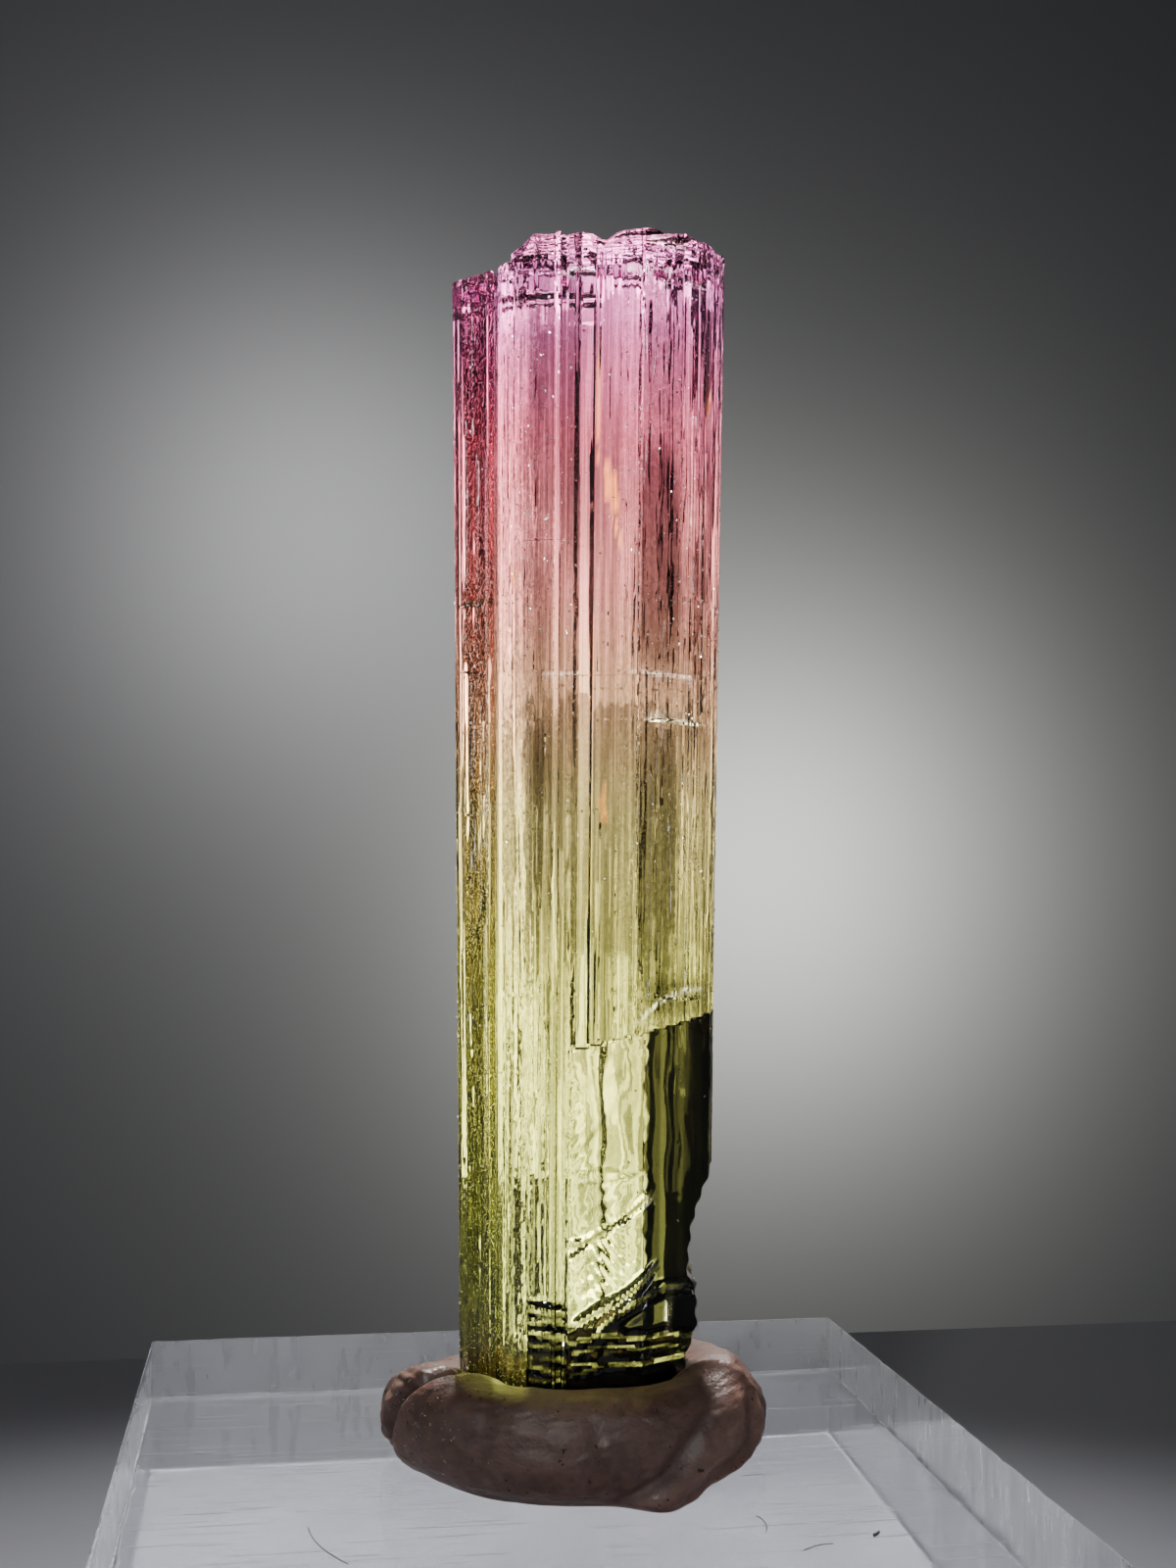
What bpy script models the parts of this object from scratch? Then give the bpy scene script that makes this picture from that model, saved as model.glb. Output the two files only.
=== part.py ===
"""A pink to yellow-green tourmaline crystal standing in mineral putty on a clear display block.

The origin is the centre of the block's underside and +Z is up.  The crystal, its break and the
putty are laid out in a frame of their own, whose first axis runs along the crystal's broad
front, whose second axis runs away from it, and whose third axis is the crystal's length.
"""
import random
from math import atan2, cos, degrees, exp, hypot, pi, radians, sin

import bmesh
import bpy
from mathutils import Vector, noise

# Driving dimensions, in millimetres unless a name says otherwise
MM = 0.001
BLOCK_SIDE = 38.1
BLOCK_HEIGHT = 12.7
BLOCK_EDGE = 0.25
GAP = 0.3

STANCE = (1.0, -2.0)
FACING_DEGREES = 9.8

FOOT_LEVEL = BLOCK_HEIGHT + GAP
WAIST_LEVEL = 37.7
LEFT_LEVEL = 64.7
MIDDLE_LEVEL = 65.5
RIGHT_LEVEL = 66.0
LEAN_LEFT = 0.0035
LEAN_RIGHT = 0.0016
LEAN_DEEP = 0.0022

RIDGE_PITCH = 0.24
RIDGE_RELIEF = 0.07

# Sections of the three grown-together columns at the waist, front first, seen from above
LEFT_COLUMN = [
    (-5.87, -0.6), (-5.72, -1.9), (-5.26, -2.7), (-4.19, -3.4), (-3.95, -3.1), (-2.5, -2.4),
    (-2.5, 3.2), (-3.6, 3.95), (-4.9, 2.7), (-5.6, 1.1),
]
MIDDLE_COLUMN = [
    (-3.86, -3.2), (-3.72, -3.85), (-3.15, -4.35), (-2.29, -4.72), (-1.47, -4.86),
    (-1.36, -5.04), (-1.25, -4.86), (-1.05, -4.74), (-0.39, -4.93), (0.12, -4.93),
    (0.24, -4.7), (0.8, -3.0), (0.8, 4.8), (0.1, 5.6), (-1.2, 5.78), (-2.6, 5.1),
    (-3.45, 4.0), (-3.7, 2.4),
]
RIGHT_COLUMN = [
    (0.34, -4.74), (1.2, -5.0), (2.09, -5.18), (2.25, -4.98), (3.78, -4.32), (4.82, -3.35),
    (5.45, -2.1), (5.71, -0.7), (5.72, 0.6), (5.2, 2.3), (4.1, 3.9), (2.7, 5.0), (1.2, 5.5),
    (0.35, 5.15), (-0.2, 4.0), (-0.2, -3.5),
]

# Ledges of the broken top: centre, width, depth, level there, nod, roll and turn in degrees
TOP_LEDGES = [
    ("ledge_left_dip", (-5.0, -3.2), 1.5, 2.6, 64.15, (5.0, 6.0, -30.0)),
    ("ledge_left_rear", (-5.2, 2.9), 2.8, 3.8, 64.2, (3.0, -4.0, 35.0)),
    ("ledge_shoulder", (-3.7, -3.9), 1.5, 3.0, 64.75, (0.0, -38.0, 0.0)),
    ("ledge_seam", (0.6, -4.2), 0.55, 2.4, 65.1, (4.0, 0.0, 12.0)),
    ("ledge_middle_rear", (-1.8, 5.2), 4.4, 3.1, 64.7, (-7.0, 5.0, 18.0)),
    ("ledge_middle_step", (-2.2, 1.6), 2.3, 2.0, 65.25, (4.0, -3.0, 62.0)),
    ("ledge_right_front", (2.2, -4.9), 3.0, 1.9, 65.55, (-5.0, -4.0, 9.0)),
    ("ledge_right_side", (5.2, -2.8), 2.4, 3.0, 65.65, (-3.0, 5.0, -34.0)),
    ("ledge_right_rear", (3.6, 4.5), 4.2, 2.9, 65.2, (-8.0, 6.0, -31.0)),
    ("ledge_right_step", (4.9, 1.4), 2.2, 2.8, 65.7, (2.0, 8.0, 24.0)),
]
LEDGE_CLEARANCE = 4.0

# The spall that broke off the front of the right column, in two flat cuts
SPALL_TOP = 31.3
SPALL_BOTTOM = 17.0
SPALL_LEFT = -0.65
SPALL_RIDGE = 2.4
SPALL_OVERLAP = 1.0
SPALL_RIGHT = 6.2
SPALL_SLOPE_DEGREES = 13.4
SPALL_DEPTH = -4.15
SPALL_TURN_DEGREES = 33.0
RIPPLE_HEIGHT = 0.16

# The chipped right edge of the foot, as (side, level) from above downwards
CHIPPED_EDGE = [
    (6.4, 25.9), (5.5, 25.3), (5.04, 24.25), (4.65, 22.95), (4.5, 21.6), (4.49, 20.81),
    (4.84, 20.38), (4.89, 18.67), (4.38, 17.38), (4.2, 12.0), (8.0, 12.0), (8.0, 25.9),
]

# Stepped breaks across the foot: side, level, half length, radius, tilt in degrees
FOOT_STEPS = [
    (-1.5, 20.15, 1.0, 0.30, 2.0),
    (-1.5, 19.3, 0.95, 0.32, -4.0),
    (-1.45, 18.4, 0.9, 0.32, 3.0),
    (-1.4, 17.5, 0.9, 0.32, -3.0),
    (1.0, 19.3, 1.7, 0.30, 5.0),
    (1.6, 18.25, 2.0, 0.30, -2.0),
    (1.4, 17.1, 2.0, 0.32, 2.0),
]
FOOT_STEP_DEPTH = -4.75
FOOT_STEP_RIGHT_DEPTH = -4.2

# The putty ring: reach from the crystal's axis at eight bearings, and crest heights
PUTTY_REACH = {-180: 8.9, -135: 8.7, -90: 8.5, -45: 8.15, 0: 8.1, 45: 8.3, 90: 8.4, 135: 8.6}
PUTTY_CREST = {-180: 3.9, -135: 4.1, -90: 4.25, -45: 4.3, 0: 4.2, 45: 4.5, 90: 4.4, 135: 4.2}
PUTTY_CORE = 4.5
PUTTY_CAGE_STEPS = 8
PUTTY_FOOT_PULL = 0.55
PUTTY_LUMPS = 0.22
PUTTY_SKEW = 0.9
FOLD_START = -70.0
FOLD_END = -18.0
FOLD_STEP = 0.6
FOLD_STEEPNESS = 50.0
CURL_BEARING = -158.0
CURL_SPREAD = 22.0
CURL_DENT = 0.3
POCKET_HEIGHT = 4.5
POCKET_SLACK = 0.36
TAIL_AT = (4.35, -7.8)
TAIL_SIZE = (1.8, 2.1, 0.8)


def cleared_scene():
    """Empties the scene and gives the two collections, one for pieces and one for cutters."""
    for item in list(bpy.data.objects):
        bpy.data.objects.remove(item, do_unlink=True)
    pieces = bpy.data.collections.new("tourmaline_on_block")
    cutters = bpy.data.collections.new("cutters")
    for group in (pieces, cutters):
        bpy.context.scene.collection.children.link(group)
    return pieces, cutters


PIECES, CUTTERS = cleared_scene()


def moved_to(item, group):
    for owner in list(item.users_collection):
        owner.objects.unlink(item)
    group.objects.link(item)


def standing_place():
    """The empty that carries the crystal's own frame on the block."""
    place = bpy.data.objects.new("standing_place", None)
    place.location = (STANCE[0] * MM, STANCE[1] * MM, 0.0)
    place.rotation_euler = (0.0, 0.0, -radians(FACING_DEGREES))
    PIECES.objects.link(place)
    return place


PLACE = standing_place()


def principled(name, colour, roughness, transmission=0.0, ior=1.5):
    material = bpy.data.materials.new(name)
    material.use_nodes = True
    shader = material.node_tree.nodes["Principled BSDF"]
    shader.inputs["Base Color"].default_value = (*colour, 1.0)
    shader.inputs["Roughness"].default_value = roughness
    shader.inputs["Metallic"].default_value = 0.0
    shader.inputs["Transmission Weight"].default_value = transmission
    shader.inputs["IOR"].default_value = ior
    material.diffuse_color = (*colour, 1.0)
    return material


def new_object(name, mesh, group):
    item = bpy.data.objects.new(name, mesh)
    group.objects.link(item)
    return item


def as_cutter(item):
    item.hide_render = True
    item.display_type = "WIRE"
    return item


def combine(target, tool, operation):
    """Adds a Boolean of the tool to the target; the tool itself is only a guide."""
    modifier = target.modifiers.new(tool.name, "BOOLEAN")
    modifier.operation = operation
    modifier.solver = "EXACT"
    modifier.object = tool


def flat_outline(name, points, half_height):
    """A closed flat outline, extruded both ways by half its height, as a welded mesh."""
    curve = bpy.data.curves.new(name, "CURVE")
    curve.dimensions = "2D"
    curve.fill_mode = "BOTH"
    curve.extrude = half_height
    line = curve.splines.new("POLY")
    line.points.add(len(points) - 1)
    for control, (x, y) in zip(line.points, points):
        control.co = (x, y, 0.0, 1.0)
    line.use_cyclic_u = True
    guide = bpy.data.objects.new(name, curve)
    bpy.context.scene.collection.objects.link(guide)
    shape = guide.evaluated_get(bpy.context.evaluated_depsgraph_get())
    mesh = bpy.data.meshes.new_from_object(shape)
    bpy.data.objects.remove(guide, do_unlink=True)
    bpy.data.curves.remove(curve)
    shell = bmesh.new()
    shell.from_mesh(mesh)
    bmesh.ops.remove_doubles(shell, verts=shell.verts, dist=0.000001)
    bmesh.ops.recalc_face_normals(shell, faces=shell.faces)
    shell.to_mesh(mesh)
    shell.free()
    return mesh


def ridged(outline, seed):
    """Breaks each facet of a section into narrow ridges, as growth striations do."""
    dice = random.Random(seed)
    points = []
    for first, second in zip(outline, outline[1:] + outline[:1]):
        start = Vector(first)
        edge = Vector(second) - start
        outward = Vector((edge.y, -edge.x)).normalized()
        count = max(1, round(edge.length / RIDGE_PITCH))
        points.append(start)
        for step in range(1, count):
            along = (step + dice.uniform(-0.3, 0.3)) / count
            points.append(start + edge * along - outward * dice.uniform(0.0, RIDGE_RELIEF))
    return points


def leaned(side, depth, level):
    """The crystal widens a little upwards, most of all along its left edge."""
    rise = level - WAIST_LEVEL
    lean = LEAN_LEFT if side < 0 else LEAN_RIGHT
    return side * (1 + lean * rise), depth * (1 + LEAN_DEEP * rise)


def column(name, outline, foot, top, seed, group):
    """One striated column of the crystal between two levels."""
    section = [point * MM for point in ridged(outline, seed)]
    mesh = flat_outline(name, section, 0.5)
    for vertex in mesh.vertices:
        level = top if vertex.co.z > 0 else foot
        side, depth = leaned(vertex.co.x / MM, vertex.co.y / MM, level)
        vertex.co = Vector((side, depth, level)) * MM
    item = new_object(name, mesh, group)
    item.parent = PLACE
    return item


def block_cutter(name, size, place, turn):
    """A box with its own place and turn in the crystal's frame."""
    mesh = bpy.data.meshes.new(name)
    shell = bmesh.new()
    bmesh.ops.create_cube(shell, size=1.0)
    for vertex in shell.verts:
        vertex.co = Vector(a * b * MM for a, b in zip(vertex.co, size))
    shell.to_mesh(mesh)
    shell.free()
    item = new_object(name, mesh, CUTTERS)
    item.parent = PLACE
    item.location = Vector(place) * MM
    item.rotation_euler = [radians(angle) for angle in turn]
    return as_cutter(item)


def rippled_cutter(name, left, right, turn):
    """A slab whose rear face is a conchoidal break: shallow arcs that spread from the foot."""
    width = right - left
    height = SPALL_TOP - SPALL_BOTTOM + 1.2
    thickness = 4.0
    columns = 10
    rows = 26
    mesh = bpy.data.meshes.new(name)
    shell = bmesh.new()
    bmesh.ops.create_grid(shell, x_segments=columns, y_segments=rows, size=0.5)
    front = bmesh.ops.extrude_face_region(shell, geom=shell.faces[:])
    raised = {item for item in front["geom"] if isinstance(item, bmesh.types.BMVert)}
    slope = sin(radians(SPALL_SLOPE_DEGREES))
    for vertex in shell.verts:
        along = (vertex.co.x + 0.5) * width
        level = (vertex.co.y - 0.5) * height
        level += slope * along * (vertex.co.y + 0.5)
        if vertex in raised:
            vertex.co = Vector((along, -thickness, level)) * MM
        else:
            distance = hypot(along - 4.5, level + height)
            wave = sin(distance * 2.6) * exp(-distance * 0.05)
            belly = 0.5 * sin(pi * (vertex.co.y + 0.5))
            vertex.co = Vector((along, RIPPLE_HEIGHT * wave + belly, level)) * MM
    bmesh.ops.recalc_face_normals(shell, faces=shell.faces)
    shell.to_mesh(mesh)
    shell.free()
    item = new_object(name, mesh, CUTTERS)
    item.parent = PLACE
    rise = (left - SPALL_LEFT) * slope
    item.location = Vector((left, SPALL_DEPTH, SPALL_TOP - 0.7 + rise)) * MM
    item.rotation_euler = (0.0, 0.0, radians(turn))
    return as_cutter(item)


def edge_cutter():
    """The outline of the chipped right edge, carried through the crystal's depth."""
    mesh = flat_outline("chipped_edge", [Vector(point) * MM for point in CHIPPED_EDGE], 9 * MM)
    item = new_object("chipped_edge", mesh, CUTTERS)
    item.parent = PLACE
    item.rotation_euler = (radians(90.0), 0.0, 0.0)
    return as_cutter(item)


def step_cutter(index, side, level, half_length, radius, tilt):
    """A shallow lying groove, one of the stepped breaks across the foot."""
    mesh = bpy.data.meshes.new("foot_step")
    shell = bmesh.new()
    bmesh.ops.create_cone(
        shell, cap_ends=True, segments=8, radius1=radius * MM, radius2=radius * MM,
        depth=2 * half_length * MM,
    )
    shell.to_mesh(mesh)
    shell.free()
    item = new_object(f"foot_step_{index}", mesh, CUTTERS)
    item.parent = PLACE
    depth = FOOT_STEP_DEPTH if side < 0 else FOOT_STEP_RIGHT_DEPTH
    item.location = Vector((side, depth, level)) * MM
    item.rotation_euler = (radians(12.0), radians(90.0 + tilt), 0.0)
    return as_cutter(item)


def crystal():
    """Three striated columns grown together, with a stepped top and a broken foot."""
    body = column("tourmaline_crystal", LEFT_COLUMN, FOOT_LEVEL, LEFT_LEVEL, 3, PIECES)
    others = [
        column("middle_column", MIDDLE_COLUMN, FOOT_LEVEL + 0.25, MIDDLE_LEVEL, 5, CUTTERS),
        column("right_column", RIGHT_COLUMN, FOOT_LEVEL + 0.5, RIGHT_LEVEL, 8, CUTTERS),
    ]
    for other in others:
        combine(body, as_cutter(other), "UNION")
    for name, (side, depth), width, reach, level, turn in TOP_LEDGES:
        place = (side, depth, level + LEDGE_CLEARANCE / 2)
        size = (width, reach, LEDGE_CLEARANCE)
        combine(body, block_cutter(name, size, place, turn), "DIFFERENCE")
    straight = rippled_cutter("spall_left", SPALL_LEFT, SPALL_RIDGE + SPALL_OVERLAP, 0.0)
    combine(body, straight, "DIFFERENCE")
    turned = rippled_cutter("spall_right", SPALL_RIDGE, SPALL_RIGHT, SPALL_TURN_DEGREES)
    combine(body, turned, "DIFFERENCE")
    combine(body, edge_cutter(), "DIFFERENCE")
    for index, step in enumerate(FOOT_STEPS):
        combine(body, step_cutter(index, *step), "DIFFERENCE")
    body.data.materials.append(principled("crystal", (0.72, 0.55, 0.42), 0.05, 0.9, 1.63))
    return body


def at_bearing(table, bearing):
    """Reads a value between the eight bearings of a ring, smoothly."""
    step = 45
    low = -180 + step * int((bearing + 180) // step)
    share = (bearing - low) / step
    ease = share * share * (3 - 2 * share)
    start = table[-180 if low >= 180 else low]
    end = table[-180 if low + step >= 180 else low + step]
    return start + (end - start) * ease


def putty_point(around, over):
    """Places one cage point of the ring: around is its bearing, over runs round the roll.

    The cage stands off by the slack that its smoothing takes back.
    """
    bearing = degrees(around)
    reach = at_bearing(PUTTY_REACH, bearing)
    crest = at_bearing(PUTTY_CREST, bearing)
    curl = exp(-((bearing - CURL_BEARING) / CURL_SPREAD) ** 2) * exp(-((over - 0.9) / 0.5) ** 2)
    slack = 3 / (2 + cos(2 * pi / PUTTY_CAGE_STEPS)) * (1 - CURL_DENT * curl)
    half = (reach - PUTTY_CORE) / 2
    radius = PUTTY_CORE + half + half * cos(over) * slack
    level = BLOCK_HEIGHT + crest / 2 + crest / 2 * sin(over) * slack
    if FOLD_START < bearing < FOLD_END:
        radius += FOLD_STEP * max(0.0, cos(over)) * (bearing - FOLD_START) / FOLD_STEEPNESS
    radius -= PUTTY_SKEW * max(0.0, cos(around)) * max(0.0, sin(over))
    if sin(over) < 0:
        radius -= PUTTY_FOOT_PULL * sin(over) ** 2 * max(0.0, cos(over))
    place = Vector((radius * cos(around), radius * sin(around), level))
    lump = noise.noise(place * 0.45) * PUTTY_LUMPS
    out = Vector((cos(around) * cos(over), sin(around) * cos(over), sin(over)))
    return place + out * lump


def putty_ring():
    """A thick roll of putty pressed into a ring, from a coarse cage that is then smoothed."""
    bpy.ops.mesh.primitive_torus_add(
        major_segments=24, minor_segments=PUTTY_CAGE_STEPS, major_radius=7 * MM,
        minor_radius=2 * MM,
    )
    ring = bpy.context.object
    ring.name = "mineral_tack"
    ring.data.name = "mineral_tack"
    moved_to(ring, PIECES)
    for vertex in ring.data.vertices:
        around = atan2(vertex.co.y, vertex.co.x)
        over = atan2(vertex.co.z, hypot(vertex.co.x, vertex.co.y) - 7 * MM)
        vertex.co = putty_point(around, over) * MM
    smooth = ring.modifiers.new("smooth", "SUBSURF")
    smooth.levels = 2
    smooth.render_levels = 2
    ring.parent = PLACE
    return ring


def putty_tail():
    """The thin tongue of putty squeezed out in front."""
    mesh = bpy.data.meshes.new("putty_tail")
    shell = bmesh.new()
    bmesh.ops.create_uvsphere(shell, u_segments=16, v_segments=8, radius=1.0)
    for vertex in shell.verts:
        vertex.co = Vector(a * b * MM for a, b in zip(vertex.co, TAIL_SIZE))
    shell.to_mesh(mesh)
    shell.free()
    item = new_object("putty_tail", mesh, CUTTERS)
    item.parent = PLACE
    item.location = Vector((*TAIL_AT, BLOCK_HEIGHT + GAP)) * MM
    item.rotation_euler = (0.0, 0.0, radians(-24.0))
    return as_cutter(item)


def hull(points):
    """The convex outline round a set of flat points, counter-clockwise."""
    ordered = sorted(points, key=lambda point: (point.x, point.y))
    halves = []
    for run in (ordered, ordered[::-1]):
        chain = []
        for point in run:
            while len(chain) > 1:
                last = chain[-1] - chain[-2]
                turn = last.x * (point.y - chain[-1].y) - last.y * (point.x - chain[-1].x)
                if turn > 0:
                    break
                chain.pop()
            chain.append(point)
        halves.append(chain[:-1])
    return halves[0] + halves[1]


def pocket():
    """The room that the crystal's foot takes in the putty, with the gap all round."""
    points = []
    for side, depth in LEFT_COLUMN + MIDDLE_COLUMN + RIGHT_COLUMN:
        points.append(Vector(leaned(side, depth, BLOCK_HEIGHT + POCKET_HEIGHT)))
    wider = [point * (1 + POCKET_SLACK / point.length) * MM for point in hull(points)]
    item = new_object("crystal_room", flat_outline("crystal_room", wider, 7 * MM), CUTTERS)
    item.parent = PLACE
    item.location = (0.0, 0.0, BLOCK_HEIGHT * MM)
    return as_cutter(item)


def putty():
    """The ring and its tongue, cut flat underneath and round the crystal."""
    ring = putty_ring()
    combine(ring, putty_tail(), "UNION")
    combine(ring, pocket(), "DIFFERENCE")
    under = block_cutter(
        "putty_underside", (40.0, 40.0, 10.0), (0.0, 0.0, BLOCK_HEIGHT + GAP - 5.0), (0, 0, 0)
    )
    combine(ring, under, "DIFFERENCE")
    ring.data.materials.append(principled("putty", (0.27, 0.17, 0.14), 0.55))
    return ring


def block():
    """The clear square display block, with its edges just broken."""
    bpy.ops.mesh.primitive_cube_add(size=1.0)
    item = bpy.context.object
    item.name = "acrylic_block"
    item.data.name = "acrylic_block"
    moved_to(item, PIECES)
    for vertex in item.data.vertices:
        size = Vector((BLOCK_SIDE, BLOCK_SIDE, BLOCK_HEIGHT))
        vertex.co = Vector(a * b * MM for a, b in zip(vertex.co, size))
    item.location = (0.0, 0.0, BLOCK_HEIGHT * MM / 2)
    edges = item.modifiers.new("broken_edges", "BEVEL")
    edges.width = BLOCK_EDGE * MM
    edges.segments = 2
    item.data.materials.append(principled("clear_block", (0.92, 0.94, 0.95), 0.04, 0.95, 1.49))
    return item


crystal()
putty()
block()
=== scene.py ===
# %% [markdown]
# # A two-coloured tourmaline in putty on a clear block
#
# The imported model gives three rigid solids: the crystal, the ring of putty round its foot and the
# clear display block. This lesson dresses them. Each one gets a finer skin than the solid has,
# because a see-through crystal is all edges, pits and ridges, and those decide how it shines.

# %% Load the fixed frame
import math

import bmesh
import bpy
import numpy as np
from mathutils import Matrix, Vector, geometry, noise


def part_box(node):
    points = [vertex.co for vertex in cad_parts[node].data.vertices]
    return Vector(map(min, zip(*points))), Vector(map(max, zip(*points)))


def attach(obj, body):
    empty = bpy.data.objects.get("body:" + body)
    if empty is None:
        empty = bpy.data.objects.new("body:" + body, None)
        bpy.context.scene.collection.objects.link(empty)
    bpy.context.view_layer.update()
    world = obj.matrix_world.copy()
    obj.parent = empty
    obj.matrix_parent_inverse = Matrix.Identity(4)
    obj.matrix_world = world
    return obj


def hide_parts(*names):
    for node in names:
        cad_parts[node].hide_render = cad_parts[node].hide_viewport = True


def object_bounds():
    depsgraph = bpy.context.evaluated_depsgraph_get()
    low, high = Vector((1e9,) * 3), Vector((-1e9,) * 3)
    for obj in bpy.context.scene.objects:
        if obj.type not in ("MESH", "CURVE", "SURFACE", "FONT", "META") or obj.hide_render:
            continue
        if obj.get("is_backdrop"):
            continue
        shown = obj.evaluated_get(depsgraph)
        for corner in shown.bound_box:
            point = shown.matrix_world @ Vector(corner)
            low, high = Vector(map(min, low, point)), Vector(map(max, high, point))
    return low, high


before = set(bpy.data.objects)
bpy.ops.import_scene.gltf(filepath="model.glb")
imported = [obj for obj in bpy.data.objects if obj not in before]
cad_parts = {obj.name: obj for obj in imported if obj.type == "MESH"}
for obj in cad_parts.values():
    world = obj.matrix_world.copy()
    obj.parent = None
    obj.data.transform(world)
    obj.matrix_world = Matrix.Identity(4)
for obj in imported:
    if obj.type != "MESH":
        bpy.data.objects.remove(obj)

MM = 0.001
CAD_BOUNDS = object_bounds()
BLOCK_LOW, BLOCK_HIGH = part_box("acrylic_block")
CRYSTAL_LOW, CRYSTAL_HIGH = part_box("tourmaline_crystal")
BLOCK_TOP = BLOCK_HIGH.z / MM
BLOCK_SIDE = (BLOCK_HIGH.x - BLOCK_LOW.x) / MM
print("block top at", round(BLOCK_TOP, 2), "mm, crystal up to", round(CRYSTAL_HIGH.z / MM, 2), "mm")

# %% [markdown]
# ## Where the picture is taken from
#
# The camera stands very close, about eight centimetres from the crystal and a little over half
# way up it, so the top is seen from below and the putty from above. It could be aimed with a
# Track To constraint, but a written turn keeps the small lean of a camera held in the hand.

# %% Camera
IMAGE_WIDTH, IMAGE_HEIGHT = 1200, 1600
FOCAL_PIXELS = 1760.33
CAMERA_PLACE = Vector((-12.224, -78.481, 37.681)) * MM
CAMERA_TURN = math.radians(9.8)
CAMERA_PITCH = math.radians(3.26)
CAMERA_ROLL = math.radians(0.538)
SENSOR_LONG_SIDE = 36.0


def camera_axes():
    """The camera's right, up and forward directions."""
    level_forward = Vector((math.sin(CAMERA_TURN), math.cos(CAMERA_TURN), 0.0))
    level_right = Vector((math.cos(CAMERA_TURN), -math.sin(CAMERA_TURN), 0.0))
    forward = level_forward * math.cos(CAMERA_PITCH) + Vector((0, 0, math.sin(CAMERA_PITCH)))
    up = level_right.cross(forward)
    right = level_right * math.cos(CAMERA_ROLL) + up * math.sin(CAMERA_ROLL)
    return right, right.cross(forward), forward


right, up, forward = camera_axes()
camera_data = bpy.data.cameras.new("camera")
camera_data.sensor_fit = "AUTO"
camera_data.sensor_width = SENSOR_LONG_SIDE
camera_data.lens = FOCAL_PIXELS * SENSOR_LONG_SIDE / IMAGE_HEIGHT
camera_data.clip_start = 0.002
camera_data.clip_end = 20.0
camera = bpy.data.objects.new("camera", camera_data)
camera.matrix_world = Matrix((
    (right.x, up.x, -forward.x, CAMERA_PLACE.x),
    (right.y, up.y, -forward.y, CAMERA_PLACE.y),
    (right.z, up.z, -forward.z, CAMERA_PLACE.z),
    (0.0, 0.0, 0.0, 1.0),
))
bpy.context.scene.collection.objects.link(camera)
bpy.context.scene.camera = camera


def pixel_of(point):
    """Where a point in metres falls in the picture."""
    ray = point - CAMERA_PLACE
    depth = ray.dot(forward)
    across = IMAGE_WIDTH / 2 + FOCAL_PIXELS * ray.dot(right) / depth
    down = IMAGE_HEIGHT / 2 - FOCAL_PIXELS * ray.dot(up) / depth
    return round(across), round(down)


for x, y in ((BLOCK_LOW.x, BLOCK_HIGH.y), (BLOCK_HIGH.x, BLOCK_HIGH.y)):
    print("a rear corner of the block's top falls at", pixel_of(Vector((x, y, BLOCK_HIGH.z))))

# %% [markdown]
# ## A frame of its own for the crystal
#
# The crystal stands a little off the block's middle with its broad front turned to the viewer.
# Its shape is easier to say in its own directions: side along the front, depth away from it and
# level up from the table. One function turns such points into places on the table, so every
# piece made with it is already where it belongs and its object can stay at the origin.

# %% The crystal's own frame, and a mesh from arrays
STANCE = (1.0, -2.0)
FACING = math.radians(9.8)


def placed(points):
    """Points given as side, depth and level in millimetres, as row positions in metres."""
    points = np.asarray(points, dtype=float)
    side, depth, level = points[:, 0], points[:, 1], points[:, 2]
    x = side * math.cos(FACING) + depth * math.sin(FACING) + STANCE[0]
    y = -side * math.sin(FACING) + depth * math.cos(FACING) + STANCE[1]
    return np.column_stack((x, y, level)) * MM


def new_piece(name, points, faces):
    """A mesh object at the origin from row positions and faces."""
    mesh = bpy.data.meshes.new(name)
    mesh.from_pydata([tuple(point) for point in points], [], faces)
    mesh.validate()
    mesh.update()
    piece = bpy.data.objects.new(name, mesh)
    bpy.context.scene.collection.objects.link(piece)
    return piece


def faced_outwards(mesh):
    """Turns a closed mesh's faces outwards, smooths it, and gives its volume in cubic mm."""
    shell = bmesh.new()
    shell.from_mesh(mesh)
    bmesh.ops.recalc_face_normals(shell, faces=shell.faces)
    volume = shell.calc_volume() / MM ** 3
    shell.to_mesh(mesh)
    shell.free()
    mesh.shade_smooth()
    return round(volume)


def cell_value(across, along, seed):
    """A repeatable random value from 0 to 1 for each whole-numbered cell."""
    spread = np.sin(across * 127.1 + along * 311.7 + seed * 74.7) * 43758.5453
    return spread - np.floor(spread)


def soft_step(value):
    """Eases from 0 to 1 while the value goes from 0 to 1."""
    value = np.clip(value, 0.0, 1.0)
    return value * value * (3.0 - 2.0 * value)


def bell(value, width):
    """A bell curve, 1 where the value is 0."""
    return np.exp(-(value / width) ** 2)


print("a test point lands at", placed([(0.0, 0.0, BLOCK_TOP)])[0].round(4))
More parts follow.
